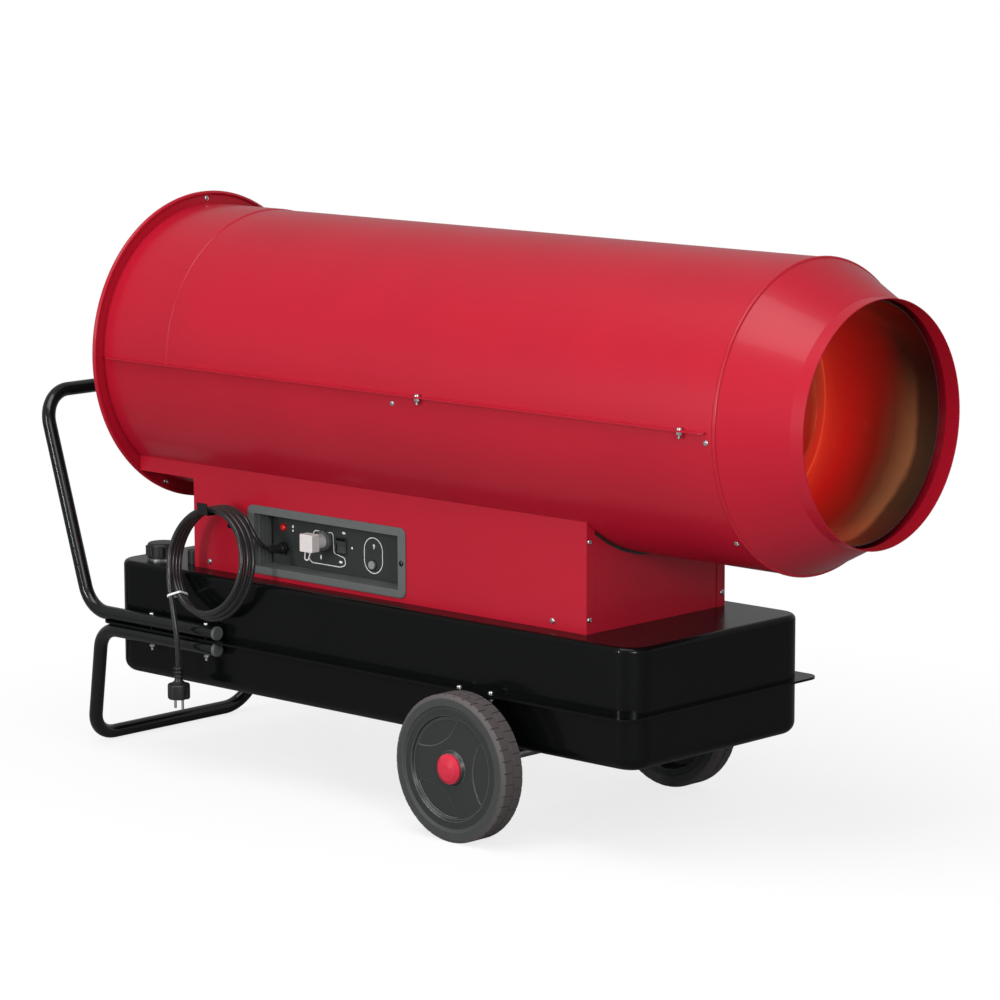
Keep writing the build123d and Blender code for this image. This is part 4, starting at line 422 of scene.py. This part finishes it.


# The chamber's finish: heat tint, with painted shade on the upper wall near the mouth, a painted
# highlight on the lower wall and a painted glow.
def heatTint():
    plan = chamberTintAndLightPlan
    material, tree = blankMaterial("stainlessTintAndPaintedLight")
    place = addNode(tree, "ShaderNodeTexCoord").outputs["Object"]
    parts = addNode(tree, "ShaderNodeSeparateXYZ", {"Vector": place}).outputs
    axis = axisHeight * mm
    radius = distanceFrom(tree, place, (0, 0, axis), (0, 1, 1))
    tint = chamberTint(tree, place, parts[0], radius)
    outside = chamberOutside(tree, parts[0], radius)
    heights = [axis + height for height in plan["turnOver"]]
    # The lower and upper rows meet by height, so the painted shade lies on the upper wall and the painted
    # highlight on the lower.
    tintsAndPaintedLight = blendColours(tree, parts[2], heights, tintAndPaintedLightColours(tree, tint, plan["lower"]),
                          tintAndPaintedLightColours(tree, tint, plan["upper"]), easing="SMOOTHSTEP")
    colour = blendColours(tree, outside, (0.0, 1.0), tintsAndPaintedLight, plan["skinColour"])
    colour = blendColours(tree, parts[0], plan["rim"], colour, plan["rimColourAndHighlight"])
    stretched = addNode(tree, "ShaderNodeMapping",
                        {"Vector": place, "Scale": plan["scratchStretch"]}).outputs[0]
    scratches = addNode(tree, "ShaderNodeTexNoise",
                        {"Vector": stretched, "Scale": 1 / (plan["scratchMm"] * mm),
                         "Detail": plan["scratchDetail"]}).outputs["Fac"]
    dull = addNode(tree, "ShaderNodeMapRange",
                   {"Value": scratches, "To Min": plan["rough"][0], "To Max": plan["rough"][1]})
    bump = addNode(tree, "ShaderNodeBump",
                   {"Height": scratches, "Distance": plan["scratchDepthMm"] * mm, "Strength": 1.0})
    # Painted glow: the inside of the drum emits its tint colours, though it is no lamp.
    first, last, strength = plan["paintedDeepGlow"]
    glowByDepth = addNode(tree, "ShaderNodeMapRange",
                  {"Value": tint, "From Min": first, "From Max": last, "To Max": strength})
    inside = addNode(tree, "ShaderNodeMath", {0: 1.0, 1: outside}, operation="SUBTRACT")
    paintedGlow = addNode(tree, "ShaderNodeMath", {0: glowByDepth.outputs[0], 1: inside.outputs[0]},
                       operation="MULTIPLY")
    shader = addNode(tree, "ShaderNodeBsdfPrincipled",
                     {"Base Color": colour, "Roughness": dull.outputs[0], "Normal": bump.outputs[0],
                      "Metallic": plan["metal"], "Emission Color": tintsAndPaintedLight,
                      "Emission Strength": paintedGlow.outputs[0]})
    addNode(tree, "ShaderNodeOutputMaterial", {"Surface": shader.outputs[0]})
    return material


materials["stainlessTintAndPaintedLight"] = heatTint()

# The CAD nodes that stay, by the finish that they get
dressedIn = {
    "redPowderCoat": ["upper_cover", "lower_shell", "inlet_ring", "outlet_cone", "base_side_near",
                      "base_side_far", "base_front", "base_rear"],
    "blackEnamel": ["tank_lower", "tank_upper", "axle_brackets"],
    "blackTubeCoat": ["push_handle", "support_leg", "cord_hook"],
    "plateCoat": ["control_plate"],
    "stainlessTintAndPaintedLight": ["combustion_chamber", "flame_baffle"],
    "galvanisedSheet": ["burner_head", "motor_bracket", "filler_neck"],
    "zincPlate": ["axle", "motor_shaft"],
    "brightWire": ["inlet_guard"],
    "motorPaint": ["motor_body"],
    "castAluminium": ["fuel_pump", "fan_impeller"],
    "turnedBrass": ["nozzle_line"],
    "drawnCopper": ["fuel_pipes"],
    "amberNylon": ["fuel_filter"],
    "glazedCeramic": ["ignition_electrodes"],
    "greyAbs": ["control_bezel", "thermostat_socket", "tube_end_caps"],
    "greyNylon": ["reset_button"],
    "smokyPolycarbonate": ["rocker"],
    "blackPolyamide": ["filler_cap", "fuel_gauge", "gauge_float", "cord_gland", "switch_housing",
                       "reset_collar", "control_box", "ignition_transformer"],
    "hubPolypropylene": ["near_hub", "far_hub"],
    "tyreRubber": ["near_tyre", "far_tyre"],
    "redPolypropylene": ["near_cap", "far_cap"],
    "lampLens": ["lamp"],
    "paleGreyPolycarbonate": ["thermostat_plug"],
    "cordRubber": ["cutout_trim", "cap_seal"],
    "naturalNylon": ["cord_tie"],
}


def dress(piece, material):
    if not piece.data.materials:
        piece.data.materials.append(material)
    for place in piece.material_slots:
        place.material = material


for finishName, dressedNodes in dressedIn.items():
    for nodeName in dressedNodes:
        dress(nodes[nodeName], materials[finishName])
print("stage: finishes,", len(materials))

# Mains plug: lathed relief and body with finger notches, in place of the plain solid.
# Sizes are in millimetres, and each outline gives heights and radii from the top down.
plugPlan = {
    "x": -473, "y": -269, "segments": 96,
    "outline": [
        (198, 0), (198, 6.2), (197, 9.0), (195, 9.4), (193.4, 9.0), (192.6, 6.6), (190.4, 6.6),
        (189.8, 9.0), (188, 9.4), (186.2, 9.0), (185.4, 6.7), (183.2, 6.7), (182.6, 9.0), (180.8, 9.4),
        (179, 9.0), (178.2, 6.9), (176, 7.0), (172, 8.2), (168.6, 12.6), (167.4, 16.4), (166.6, 18.6),
        (165.2, 19.6), (162, 19.9), (152, 19.9), (144, 19.9), (141.2, 19.6), (140.2, 18.8), (140, 16),
        (140, 0),
    ],
    # The notches cut the body below gripTop, where it is wider than gripLeast
    "grips": 6, "gripDepth": 2.6, "gripTop": 160, "gripLeast": 17,
    # The two pins stand pinSpread to each side, and what is below metalBelow is plated
    "pin": [(140.4, 0), (140.4, 2.4), (122.6, 2.4), (121.4, 1.68), (121, 0)],
    "pinSpread": 9.5, "pinSegments": 24, "metalBelow": 139.9,
}


def joinRows(mesh, above, below):
    # A band of faces between two closed rows of points. A row of one point is a pole.
    count = max(len(above), len(below))
    for index in range(count):
        after = (index + 1) % count
        corners = dict.fromkeys((above[index % len(above)], above[after % len(above)],
                                 below[after % len(below)], below[index % len(below)]))
        if len(corners) > 2:
            mesh.faces.new(tuple(corners))


def addLathe(mesh, outline, segments, centre=(0, 0), cut=None, closed=False):
    # Turns an outline of heights and radii about a vertical line. A radius of 0 is a pole.
    # cut gives what is taken off at a height, a radius and an angle. closed joins the ends.
    rows = []
    for height, radius in outline:
        if radius == 0:
            rows.append([mesh.verts.new(Vector((*centre, height)) * mm)])
            continue
        row = []
        for turn in evenTurns(segments):
            reach = radius - cut(height, radius, turn) if cut else radius
            place = (centre[0] + reach * cos(turn), centre[1] + reach * sin(turn), height)
            row.append(mesh.verts.new(Vector(place) * mm))
        rows.append(row)
    following = rows[1:] + rows[:1] if closed else rows[1:]
    for above, below in zip(rows, following):
        joinRows(mesh, above, below)


def meshFrom(mesh, name):
    # What was built, as Blender's own mesh with its faces outwards.
    bmesh.ops.recalc_face_normals(mesh, faces=mesh.faces)
    data = bpy.data.meshes.new(name)
    mesh.to_mesh(data)
    mesh.free()
    return data


def shadeSmooth(data):
    # Smooth faces between edges that turn by more than the sharp angle.
    for face in data.polygons:
        face.use_smooth = True
    data.set_sharp_from_angle(angle=sharpAngle)


def pieceFrom(mesh, name, material, body):
    data = meshFrom(mesh, name)
    shadeSmooth(data)
    data.materials.append(material)
    piece = addObject(name, data)
    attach(piece, body)
    return piece


def gripCut(height, radius, turn):
    # What a finger notch takes off the plug's body.
    plan = plugPlan
    if height >= plan["gripTop"] or radius <= plan["gripLeast"]:
        return 0.0
    return plan["gripDepth"] * max(0.0, cos(plan["grips"] * turn)) ** 2


def makePlug():
    plan = plugPlan
    mesh = bmesh.new()
    addLathe(mesh, plan["outline"], plan["segments"], (plan["x"], plan["y"]), cut=gripCut)
    for side in (-1, 1):
        centre = (plan["x"] + side * plan["pinSpread"], plan["y"])
        addLathe(mesh, plan["pin"], plan["pinSegments"], centre)
    plug = pieceFrom(mesh, "plugBody", materials["blackPolyamide"], "heater")
    plug.data.materials.append(materials["zincPlate"])
    for face in plug.data.polygons:
        if face.center.z < plan["metalBelow"] * mm:
            face.material_index = 1
    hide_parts("mains_plug")
    return plug


plugBody = makePlug()

# Relief sleeve at the gland: tapered and ribbed, round the start of the cord, in millimetres.
# Its radius runs from the first number to the second.
sleevePlan = {"length": 26.0, "radii": (8.6, 5.5), "ribs": 4, "ribDepth": 0.7, "around": 32}


def makeSleeve():
    plan = sleevePlan
    widest, narrowest = plan["radii"]
    mesh = bmesh.new()
    rows, gone, before = [], 0.0, cordTrack[0]
    for place, following in zip(cordTrack, cordTrack[1:]):
        gone += (place - before).length / mm
        before = place
        if gone > plan["length"]:
            break
        share = gone / plan["length"]
        heading = (following - place).normalized()
        side = heading.cross(Vector((1, 0, 0))).normalized()
        up = heading.cross(side)
        wave = 0.5 - 0.5 * cos(2 * pi * plan["ribs"] * share)
        rib = plan["ribDepth"] * wave * (1 - share)
        radius = (widest + (narrowest - widest) * share - rib) * mm
        row = [place + (side * cos(turn) + up * sin(turn)) * radius for turn in evenTurns(plan["around"])]
        rows.append([mesh.verts.new(point) for point in row])
    for above, below in zip(rows, rows[1:]):
        joinRows(mesh, above, below)
    mesh.faces.new(rows[0])
    mesh.faces.new(rows[-1])
    return pieceFrom(mesh, "glandSleeve", materials["blackPolyamide"], "heater")


glandSleeve = makeSleeve()
mainsCord.data.materials.append(materials["cordRubber"])
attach(mainsCord, "heater")
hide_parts("supply_lead", "cord_coil", "plug_lead")
print("stage: plug and sleeve")

# White lines and signs printed on the control plate, in millimetres across it
printPlan = {
    # y of the plate's face, the ink's thickness, and the width of a line
    "face": -137.0, "thick": 0.12, "line": 1.5,
    # A loop round the thermostat's socket: its corners, what a corner takes of its two sides,
    # and the largest share of a side
    "loop": [(-267, 440), (-260, 450), (-215, 450), (-213, 415), (-186, 409), (-184, 397), (-196, 392),
             (-268, 392), (-275.5, 398.6)],
    "bend": 5.0, "bendMost": 0.45, "bendSteps": 6,
    # A slot-shaped outline round the reset button
    "pill": {"x": (-138, -94), "z": (391, 453), "points": 48},
    # Ovals: the middle of each, half its width and half its height
    "ovals": [(-315, 450, 2.2, 2.6), (-315, 442.6, 1.6, 2.0), (-188, 453, 4.2, 2.2),
              (-168, 429, 2.2, 2.2), (-196, 401, 4.4, 2.2), (-245, 404, 1.7, 4.0)],
    "ovalPoints": 20,
    # A hollow drop over the reset button, pinched towards its lower end
    "drop": {"x": -114.6, "z": 437.5, "width": 2.852, "height": 4.6, "pinch": 0.225, "hole": 0.45,
             "points": 32},
}


def roundedLoop():
    # The loop's closed row of points, with a curve at each corner.
    plan = printPlan
    corners = [Vector(point) for point in plan["loop"]]
    route = []
    for index, corner in enumerate(corners):
        ends = []
        for other in (corners[index - 1], corners[(index + 1) % len(corners)]):
            taken = min(plan["bend"] / (other - corner).length, plan["bendMost"])
            ends.append(corner.lerp(other, taken))
        for step in range(plan["bendSteps"] + 1):
            share = step / plan["bendSteps"]
            outer = ends[0] * (1 - share) ** 2 + ends[1] * share ** 2
            route.append(outer + corner * 2 * share * (1 - share))
    return route


def pillRow():
    # Two half circles, one above the other.
    pill = printPlan["pill"]
    (left, right), (low, high) = pill["x"], pill["z"]
    middle, radius = (left + right) / 2, (right - left) / 2
    row = []
    for turn in evenTurns(pill["points"], 0.5):
        centre = high - radius if sin(turn) > 0 else low + radius
        row.append(Vector((middle + radius * cos(turn), centre + radius * sin(turn))))
    return row


def dropRow():
    drop = printPlan["drop"]
    row = []
    for turn in evenTurns(drop["points"]):
        pinched = 1 - drop["pinch"] * (1 - sin(turn)) ** 2
        row.append(Vector((drop["x"] + drop["width"] * cos(turn) * pinched,
                           drop["z"] + drop["height"] * sin(turn))))
    return row


def offsetRow(points, distance):
    moved = []
    for index, point in enumerate(points):
        along = points[(index + 1) % len(points)] - points[index - 1]
        across = Vector((along.y, -along.x)).normalized()
        moved.append(point + across * distance)
    return moved


def addPrint(mesh, outer, inner=None):
    # A thin raised area inside a closed row of points, or between two.
    levels = (printPlan["face"], printPlan["face"] - printPlan["thick"])
    rims = []
    for points in (outer, inner):
        if points:
            rims.append([[mesh.verts.new(Vector((x, level, z)) * mm) for x, z in points]
                         for level in levels])
            joinRows(mesh, *rims[-1])
    for outside, inside in zip(rims[0], rims[-1]):
        if inner:
            joinRows(mesh, outside, inside)
        else:
            mesh.faces.new(outside)


def makePrint():
    plan = printPlan
    mesh = bmesh.new()
    half = plan["line"] / 2
    for line in (roundedLoop(), pillRow()):
        addPrint(mesh, offsetRow(line, half), offsetRow(line, -half))
    for x, z, width, height in plan["ovals"]:
        addPrint(mesh, [Vector((x + width * cos(turn), z + height * sin(turn)))
                        for turn in evenTurns(plan["ovalPoints"])])
    drop = dropRow()
    middle = Vector((plan["drop"]["x"], plan["drop"]["z"]))
    addPrint(mesh, drop, [middle.lerp(point, plan["drop"]["hole"]) for point in drop])
    pieceFrom(mesh, "panelPrint", materials["whiteInk"], "heater")


makePrint()
print("stage: panel print")

# Screws and bolts: one shape of each, repeated by Geometry Nodes on points that face outwards.
# Sizes and places are in millimetres. Angles run round the barrel: 0 is the near side, 90 the top.
forwards, nearwards, upwards = (1, 0, 0), (0, -1, 0), (0, 0, 1)
copySize = 1.0    # of every screw and bolt, against the sizes given here
screwPlan = {
    "head": 5.0, "rise": 2.4, "shank": 2.0, "depth": 8.0, "around": 40,
    # The dome ends in a flat crown, whose rings have these radii
    "domeSteps": 6, "crown": (1.0, 0.5, 0.0),
    # The cross recess: its depth, the height that it starts at, half its width, and its reach
    "recess": 1.1, "recessFrom": 0.48, "arm": 0.65, "armReach": 3.1,
}
screwSpots = {
    # Through the barrel: at the cone's joint and beside the rear seam bolts, as x and angles
    "barrel": {730: (-3.5, -46.0, -90.0, -134.0, -176.5), 48: (-3.7, 183.7)},
    "inletRing": {"x": -674, "radius": 266, "angles": (90.0, -65.4, -114.6)},
    "baseSides": {"x": (-489, 336), "y": 175, "z": 372.2},
    "baseFront": {"x": 411.5, "y": 168, "z": (382.2, 511.48)},
    "cordHook": (-427, -177, 452.5),
    "bezel": {"x": (-379.5, -8.5), "y": -178, "z": 426.5},
}
boltPlan = {
    # The head's outline, as heights and radii, and the shank's radius
    "head": [(4.0, 0), (4.0, 2.75), (3.2, 4.4), (1.6, 5.0), (0, 5.0)], "radius": 3.0, "around": 24,
    "nut": 5.0, "nutCorner": 5.0, "nutBevel": 0.5, "nutSides": 6,
    # The thread that shows below the nut
    "threads": 5, "pitch": 1.0, "groove": 0.35, "tail": 6.0, "tipRadius": 2.4,
}
# Two pairs of bolts in each set, at each x and at y to both sides. z is the underside of the heads,
# and the nuts are below the thickness that the bolts clamp.
boltSpots = {
    "tubeBolts": {"x": (-579, -437), "y": 234.6, "z": 273.0, "clamps": 54},
    "axleBolts": {"x": (181, 253), "y": 234.6, "z": 248.0, "clamps": 7},
    "seamBolts": {"x": (112, 682), "y": 261.0, "z": 732.5, "clamps": 3},
}


def outwards(angle):
    return Vector((0, -cos(radians(angle)), sin(radians(angle))))


def onBarrel(x, radius, angle):
    return Vector((x, 0, axisHeight)) + outwards(angle) * radius


def screwPlaces():
    # Each screw's place and the way that it faces.
    ring, sides, front = (screwSpots[name] for name in ("inletRing", "baseSides", "baseFront"))
    places = [(onBarrel(x, barrelRadius, angle), outwards(angle))
              for x, angles in screwSpots["barrel"].items() for angle in angles]
    places += [(onBarrel(ring["x"], ring["radius"], angle), forwards) for angle in ring["angles"]]
    for side in (-1, 1):
        places += [((x, side * sides["y"], sides["z"]), (0, side, 0)) for x in sides["x"]]
        places += [((front["x"], side * front["y"], z), forwards) for z in front["z"]]
    return places + [(screwSpots["cordHook"], nearwards)]


def screwShape():
    # A domed head with a cross recess, and its shank, standing on the origin.
    plan = screwPlan
    mesh = bmesh.new()
    outline = [(-plan["depth"], 0), (-plan["depth"], plan["shank"]), (0, plan["shank"]),
               (0, plan["head"])]
    for step in range(1, plan["domeSteps"]):
        lift = pi / 2 * step / plan["domeSteps"]
        outline.append((plan["rise"] * sin(lift), plan["head"] * cos(lift)))
    outline += [(plan["rise"], radius) for radius in plan["crown"]]
    addLathe(mesh, outline, plan["around"])
    for vertex in mesh.verts:
        near, reach = sorted((abs(vertex.co.x), abs(vertex.co.y)))
        inCross = near < plan["arm"] * mm and reach < plan["armReach"] * mm
        if inCross and vertex.co.z > plan["recessFrom"] * mm:
            vertex.co.z -= plan["recess"] * mm
    return mesh


def boltShape(clamps):
    # Head, shank and nut on one axis, with the head's seat at 0.
    plan = boltPlan
    mesh = bmesh.new()
    radius, pitch = plan["radius"], plan["pitch"]
    nutEnd = -clamps - plan["nut"]
    outline = plan["head"] + [(0, radius), (nutEnd, radius)]
    for thread in range(plan["threads"]):
        top = nutEnd - thread * pitch
        outline += [(top - pitch / 2, radius - plan["groove"]), (top - pitch, radius)]
    tip = nutEnd - plan["tail"]
    outline += [(tip, plan["tipRadius"]), (tip, 0)]
    addLathe(mesh, outline, plan["around"])
    corner, bevel = plan["nutCorner"], plan["nutBevel"]
    nut = [(-clamps, radius), (-clamps, corner - bevel), (-clamps - bevel, corner),
           (nutEnd + bevel, corner), (nutEnd, corner - bevel), (nutEnd, radius)]
    addLathe(mesh, nut, plan["nutSides"], closed=True)
    return mesh


def repeatTree(name, shape, material):
    # Puts the shape on each point, turned to the point's way, as plain faces.
    tree = bpy.data.node_groups.new(name, "GeometryNodeTree")
    tree.interface.new_socket("Geometry", in_out="INPUT", socket_type="NodeSocketGeometry")
    size = tree.interface.new_socket("Size", in_out="INPUT", socket_type="NodeSocketFloat")
    tree.interface.new_socket("Geometry", in_out="OUTPUT", socket_type="NodeSocketGeometry")
    given = addNode(tree, "NodeGroupInput").outputs
    way = addNode(tree, "GeometryNodeInputNamedAttribute", {"Name": "way"}, data_type="FLOAT_VECTOR")
    turned = addNode(tree, "FunctionNodeAlignRotationToVector", {"Vector": way.outputs[0]}, axis="Z")
    model = addNode(tree, "GeometryNodeObjectInfo", {"Object": shape})
    copies = addNode(tree, "GeometryNodeInstanceOnPoints",
                     {"Points": given["Geometry"], "Instance": model.outputs["Geometry"],
                      "Rotation": turned.outputs[0], "Scale": given["Size"]})
    plain = addNode(tree, "GeometryNodeRealizeInstances", {"Geometry": copies.outputs[0]})
    coated = addNode(tree, "GeometryNodeSetMaterial",
                     {"Geometry": plain.outputs[0], "Material": material})
    addNode(tree, "NodeGroupOutput", {0: coated.outputs[0]})
    return tree, size.identifier


def repeatOn(name, places, shapeMesh, material, node):
    # One piece with a copy of the shape at each place, facing the way that is given with it.
    shape = addObject(name + "Shape", meshFrom(shapeMesh, name + "Shape"))
    points = bpy.data.meshes.new(name + "Points")
    points.from_pydata([Vector(place) * mm for place, way in places], [], [])
    marks = points.attributes.new("way", "FLOAT_VECTOR", "POINT").data
    for mark, (place, way) in zip(marks, places):
        mark.vector = Vector(way).normalized()
    holder = addObject(name, points)
    copier = holder.modifiers.new(name, "NODES")
    copier.node_group, sizeInput = repeatTree(name, shape, material)
    copier[sizeInput] = copySize
    bpy.context.view_layer.update()
    graph = bpy.context.evaluated_depsgraph_get()
    made = bpy.data.meshes.new_from_object(holder.evaluated_get(graph))
    holder.modifiers.clear()
    holder.data = made
    bpy.data.objects.remove(shape)
    shadeSmooth(made)
    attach(holder, "heater")
    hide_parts(node)


bezel = screwSpots["bezel"]
bezelPlaces = [((x, bezel["y"], bezel["z"]), nearwards) for x in bezel["x"]]
repeatOn("screwHeads", screwPlaces(), screwShape(), materials["zincPlate"], "panel_screws")
repeatOn("bezelScrews", bezelPlaces, screwShape(), materials["blackZinc"], "panel_screws")
for boltSet, spot in boltSpots.items():
    boltPlaces = [((x, side * spot["y"], spot["z"]), upwards) for x in spot["x"] for side in (-1, 1)]
    repeatOn(boltSet, boltPlaces, boltShape(spot["clamps"]), materials["zincPlate"], "bolts_and_nuts")
print("stage: screws and bolts")

# Stage: a pale floor that fades to white, and soft studio light, in metres and watts.
# floor is the colour that the camera sees, and bounce the one that lights the object from below.
stagePlan = {
    "floorRadius": 9.0, "floorSides": 96, "floorRough": 0.8, "floor": "FAFAFA", "bounce": "8C8C8C",
    "fadeFrom": 0.6, "fadeTo": 1.6, "fadeLeast": 0.78,
    "world": 0.4, "white": "FFFFFF",
    "lamps": [
        {"name": "overheadSoftbox", "place": (0.4, -1.4, 4.2), "aim": (0, 0, 0.6), "size": (3.6, 2.4),
         "power": 100},
        {"name": "frontFill", "place": (4.2, -3.4, 2.4), "aim": (0.2, 0, 0.5), "size": (2.4, 2.4),
         "power": 50},
        {"name": "stripLamp", "place": (-0.9, -4.6, 1.5), "aim": (0, 0, 0.7), "size": (0.16, 1.9),
         "power": 66},
        {"name": "mouthLamp", "place": (2.3, -1.5, 1.0), "aim": (0.6, 0.18, 0.72), "size": (0.5, 0.5),
         "power": 17},
        # Lights the near side without showing in its gloss
        {"name": "sideFill", "place": (-0.6, -4.2, 1.4), "aim": (0, 0, 0.5), "size": (3.0, 2.0),
         "power": 36, "mirrored": False},
    ],
}


def makeFloor():
    plan = stagePlan
    bpy.ops.mesh.primitive_circle_add(vertices=plan["floorSides"], radius=plan["floorRadius"],
                                      fill_type="NGON")
    floor = bpy.context.object
    floor.name = "floor"
    material, tree = blankMaterial("paleFloor")
    place = addNode(tree, "ShaderNodeTexCoord").outputs["Object"]
    away = addNode(tree, "ShaderNodeVectorMath", {0: place}, operation="LENGTH").outputs["Value"]
    fade = addNode(tree, "ShaderNodeMapRange",
                   {"Value": away, "From Min": plan["fadeFrom"], "From Max": plan["fadeTo"],
                    "To Min": plan["fadeLeast"]}, interpolation_type="SMOOTHSTEP").outputs[0]
    seen = addNode(tree, "ShaderNodeLightPath").outputs["Is Camera Ray"]
    fadeSeen = addNode(tree, "ShaderNodeMath", {0: fade, 1: seen}, operation="MULTIPLY").outputs[0]
    colour = blendColours(tree, seen, (0.0, 1.0), plan["bounce"], plan["floor"])
    matt = addNode(tree, "ShaderNodeBsdfPrincipled",
                   {"Base Color": colour, "Roughness": plan["floorRough"]})
    white = addNode(tree, "ShaderNodeEmission", {"Color": plan["white"], "Strength": 1.0})
    both = addNode(tree, "ShaderNodeMixShader", {0: fadeSeen, 1: matt.outputs[0], 2: white.outputs[0]})
    addNode(tree, "ShaderNodeOutputMaterial", {"Surface": both.outputs[0]})
    floor.data.materials.append(material)


def makeWorld():
    # White to the camera and behind glass, and a plain grey light on the object.
    world = bpy.data.worlds.new("studio")
    scene.world = world
    world.use_nodes = True
    tree = world.node_tree
    tree.nodes.clear()
    path = addNode(tree, "ShaderNodeLightPath").outputs
    seen = addNode(tree, "ShaderNodeMath", {0: path["Is Camera Ray"], 1: path["Is Transmission Ray"]},
                   operation="MAXIMUM").outputs[0]
    level = addNode(tree, "ShaderNodeMapRange",
                    {"Value": seen, "To Min": stagePlan["world"], "To Max": 1.0})
    sky = addNode(tree, "ShaderNodeBackground",
                  {"Color": stagePlan["white"], "Strength": level.outputs[0]})
    addNode(tree, "ShaderNodeOutputWorld", {"Surface": sky.outputs[0]})


def makeLamp(lamp):
    data = bpy.data.lights.new(lamp["name"], "AREA")
    data.shape = "RECTANGLE"
    data.size, data.size_y = lamp["size"]
    data.energy = lamp["power"]
    light = addObject(lamp["name"], data)
    light.location = lamp["place"]
    aim = Vector(lamp["aim"]) - Vector(lamp["place"])
    light.rotation_euler = aim.to_track_quat("-Z", "Y").to_euler()
    light.visible_glossy = lamp.get("mirrored", True)


makeFloor()
makeWorld()
for lampSetup in stagePlan["lamps"]:
    makeLamp(lampSetup)
scene.view_settings.view_transform = "Standard"
print("stage: floor, world and lamps")
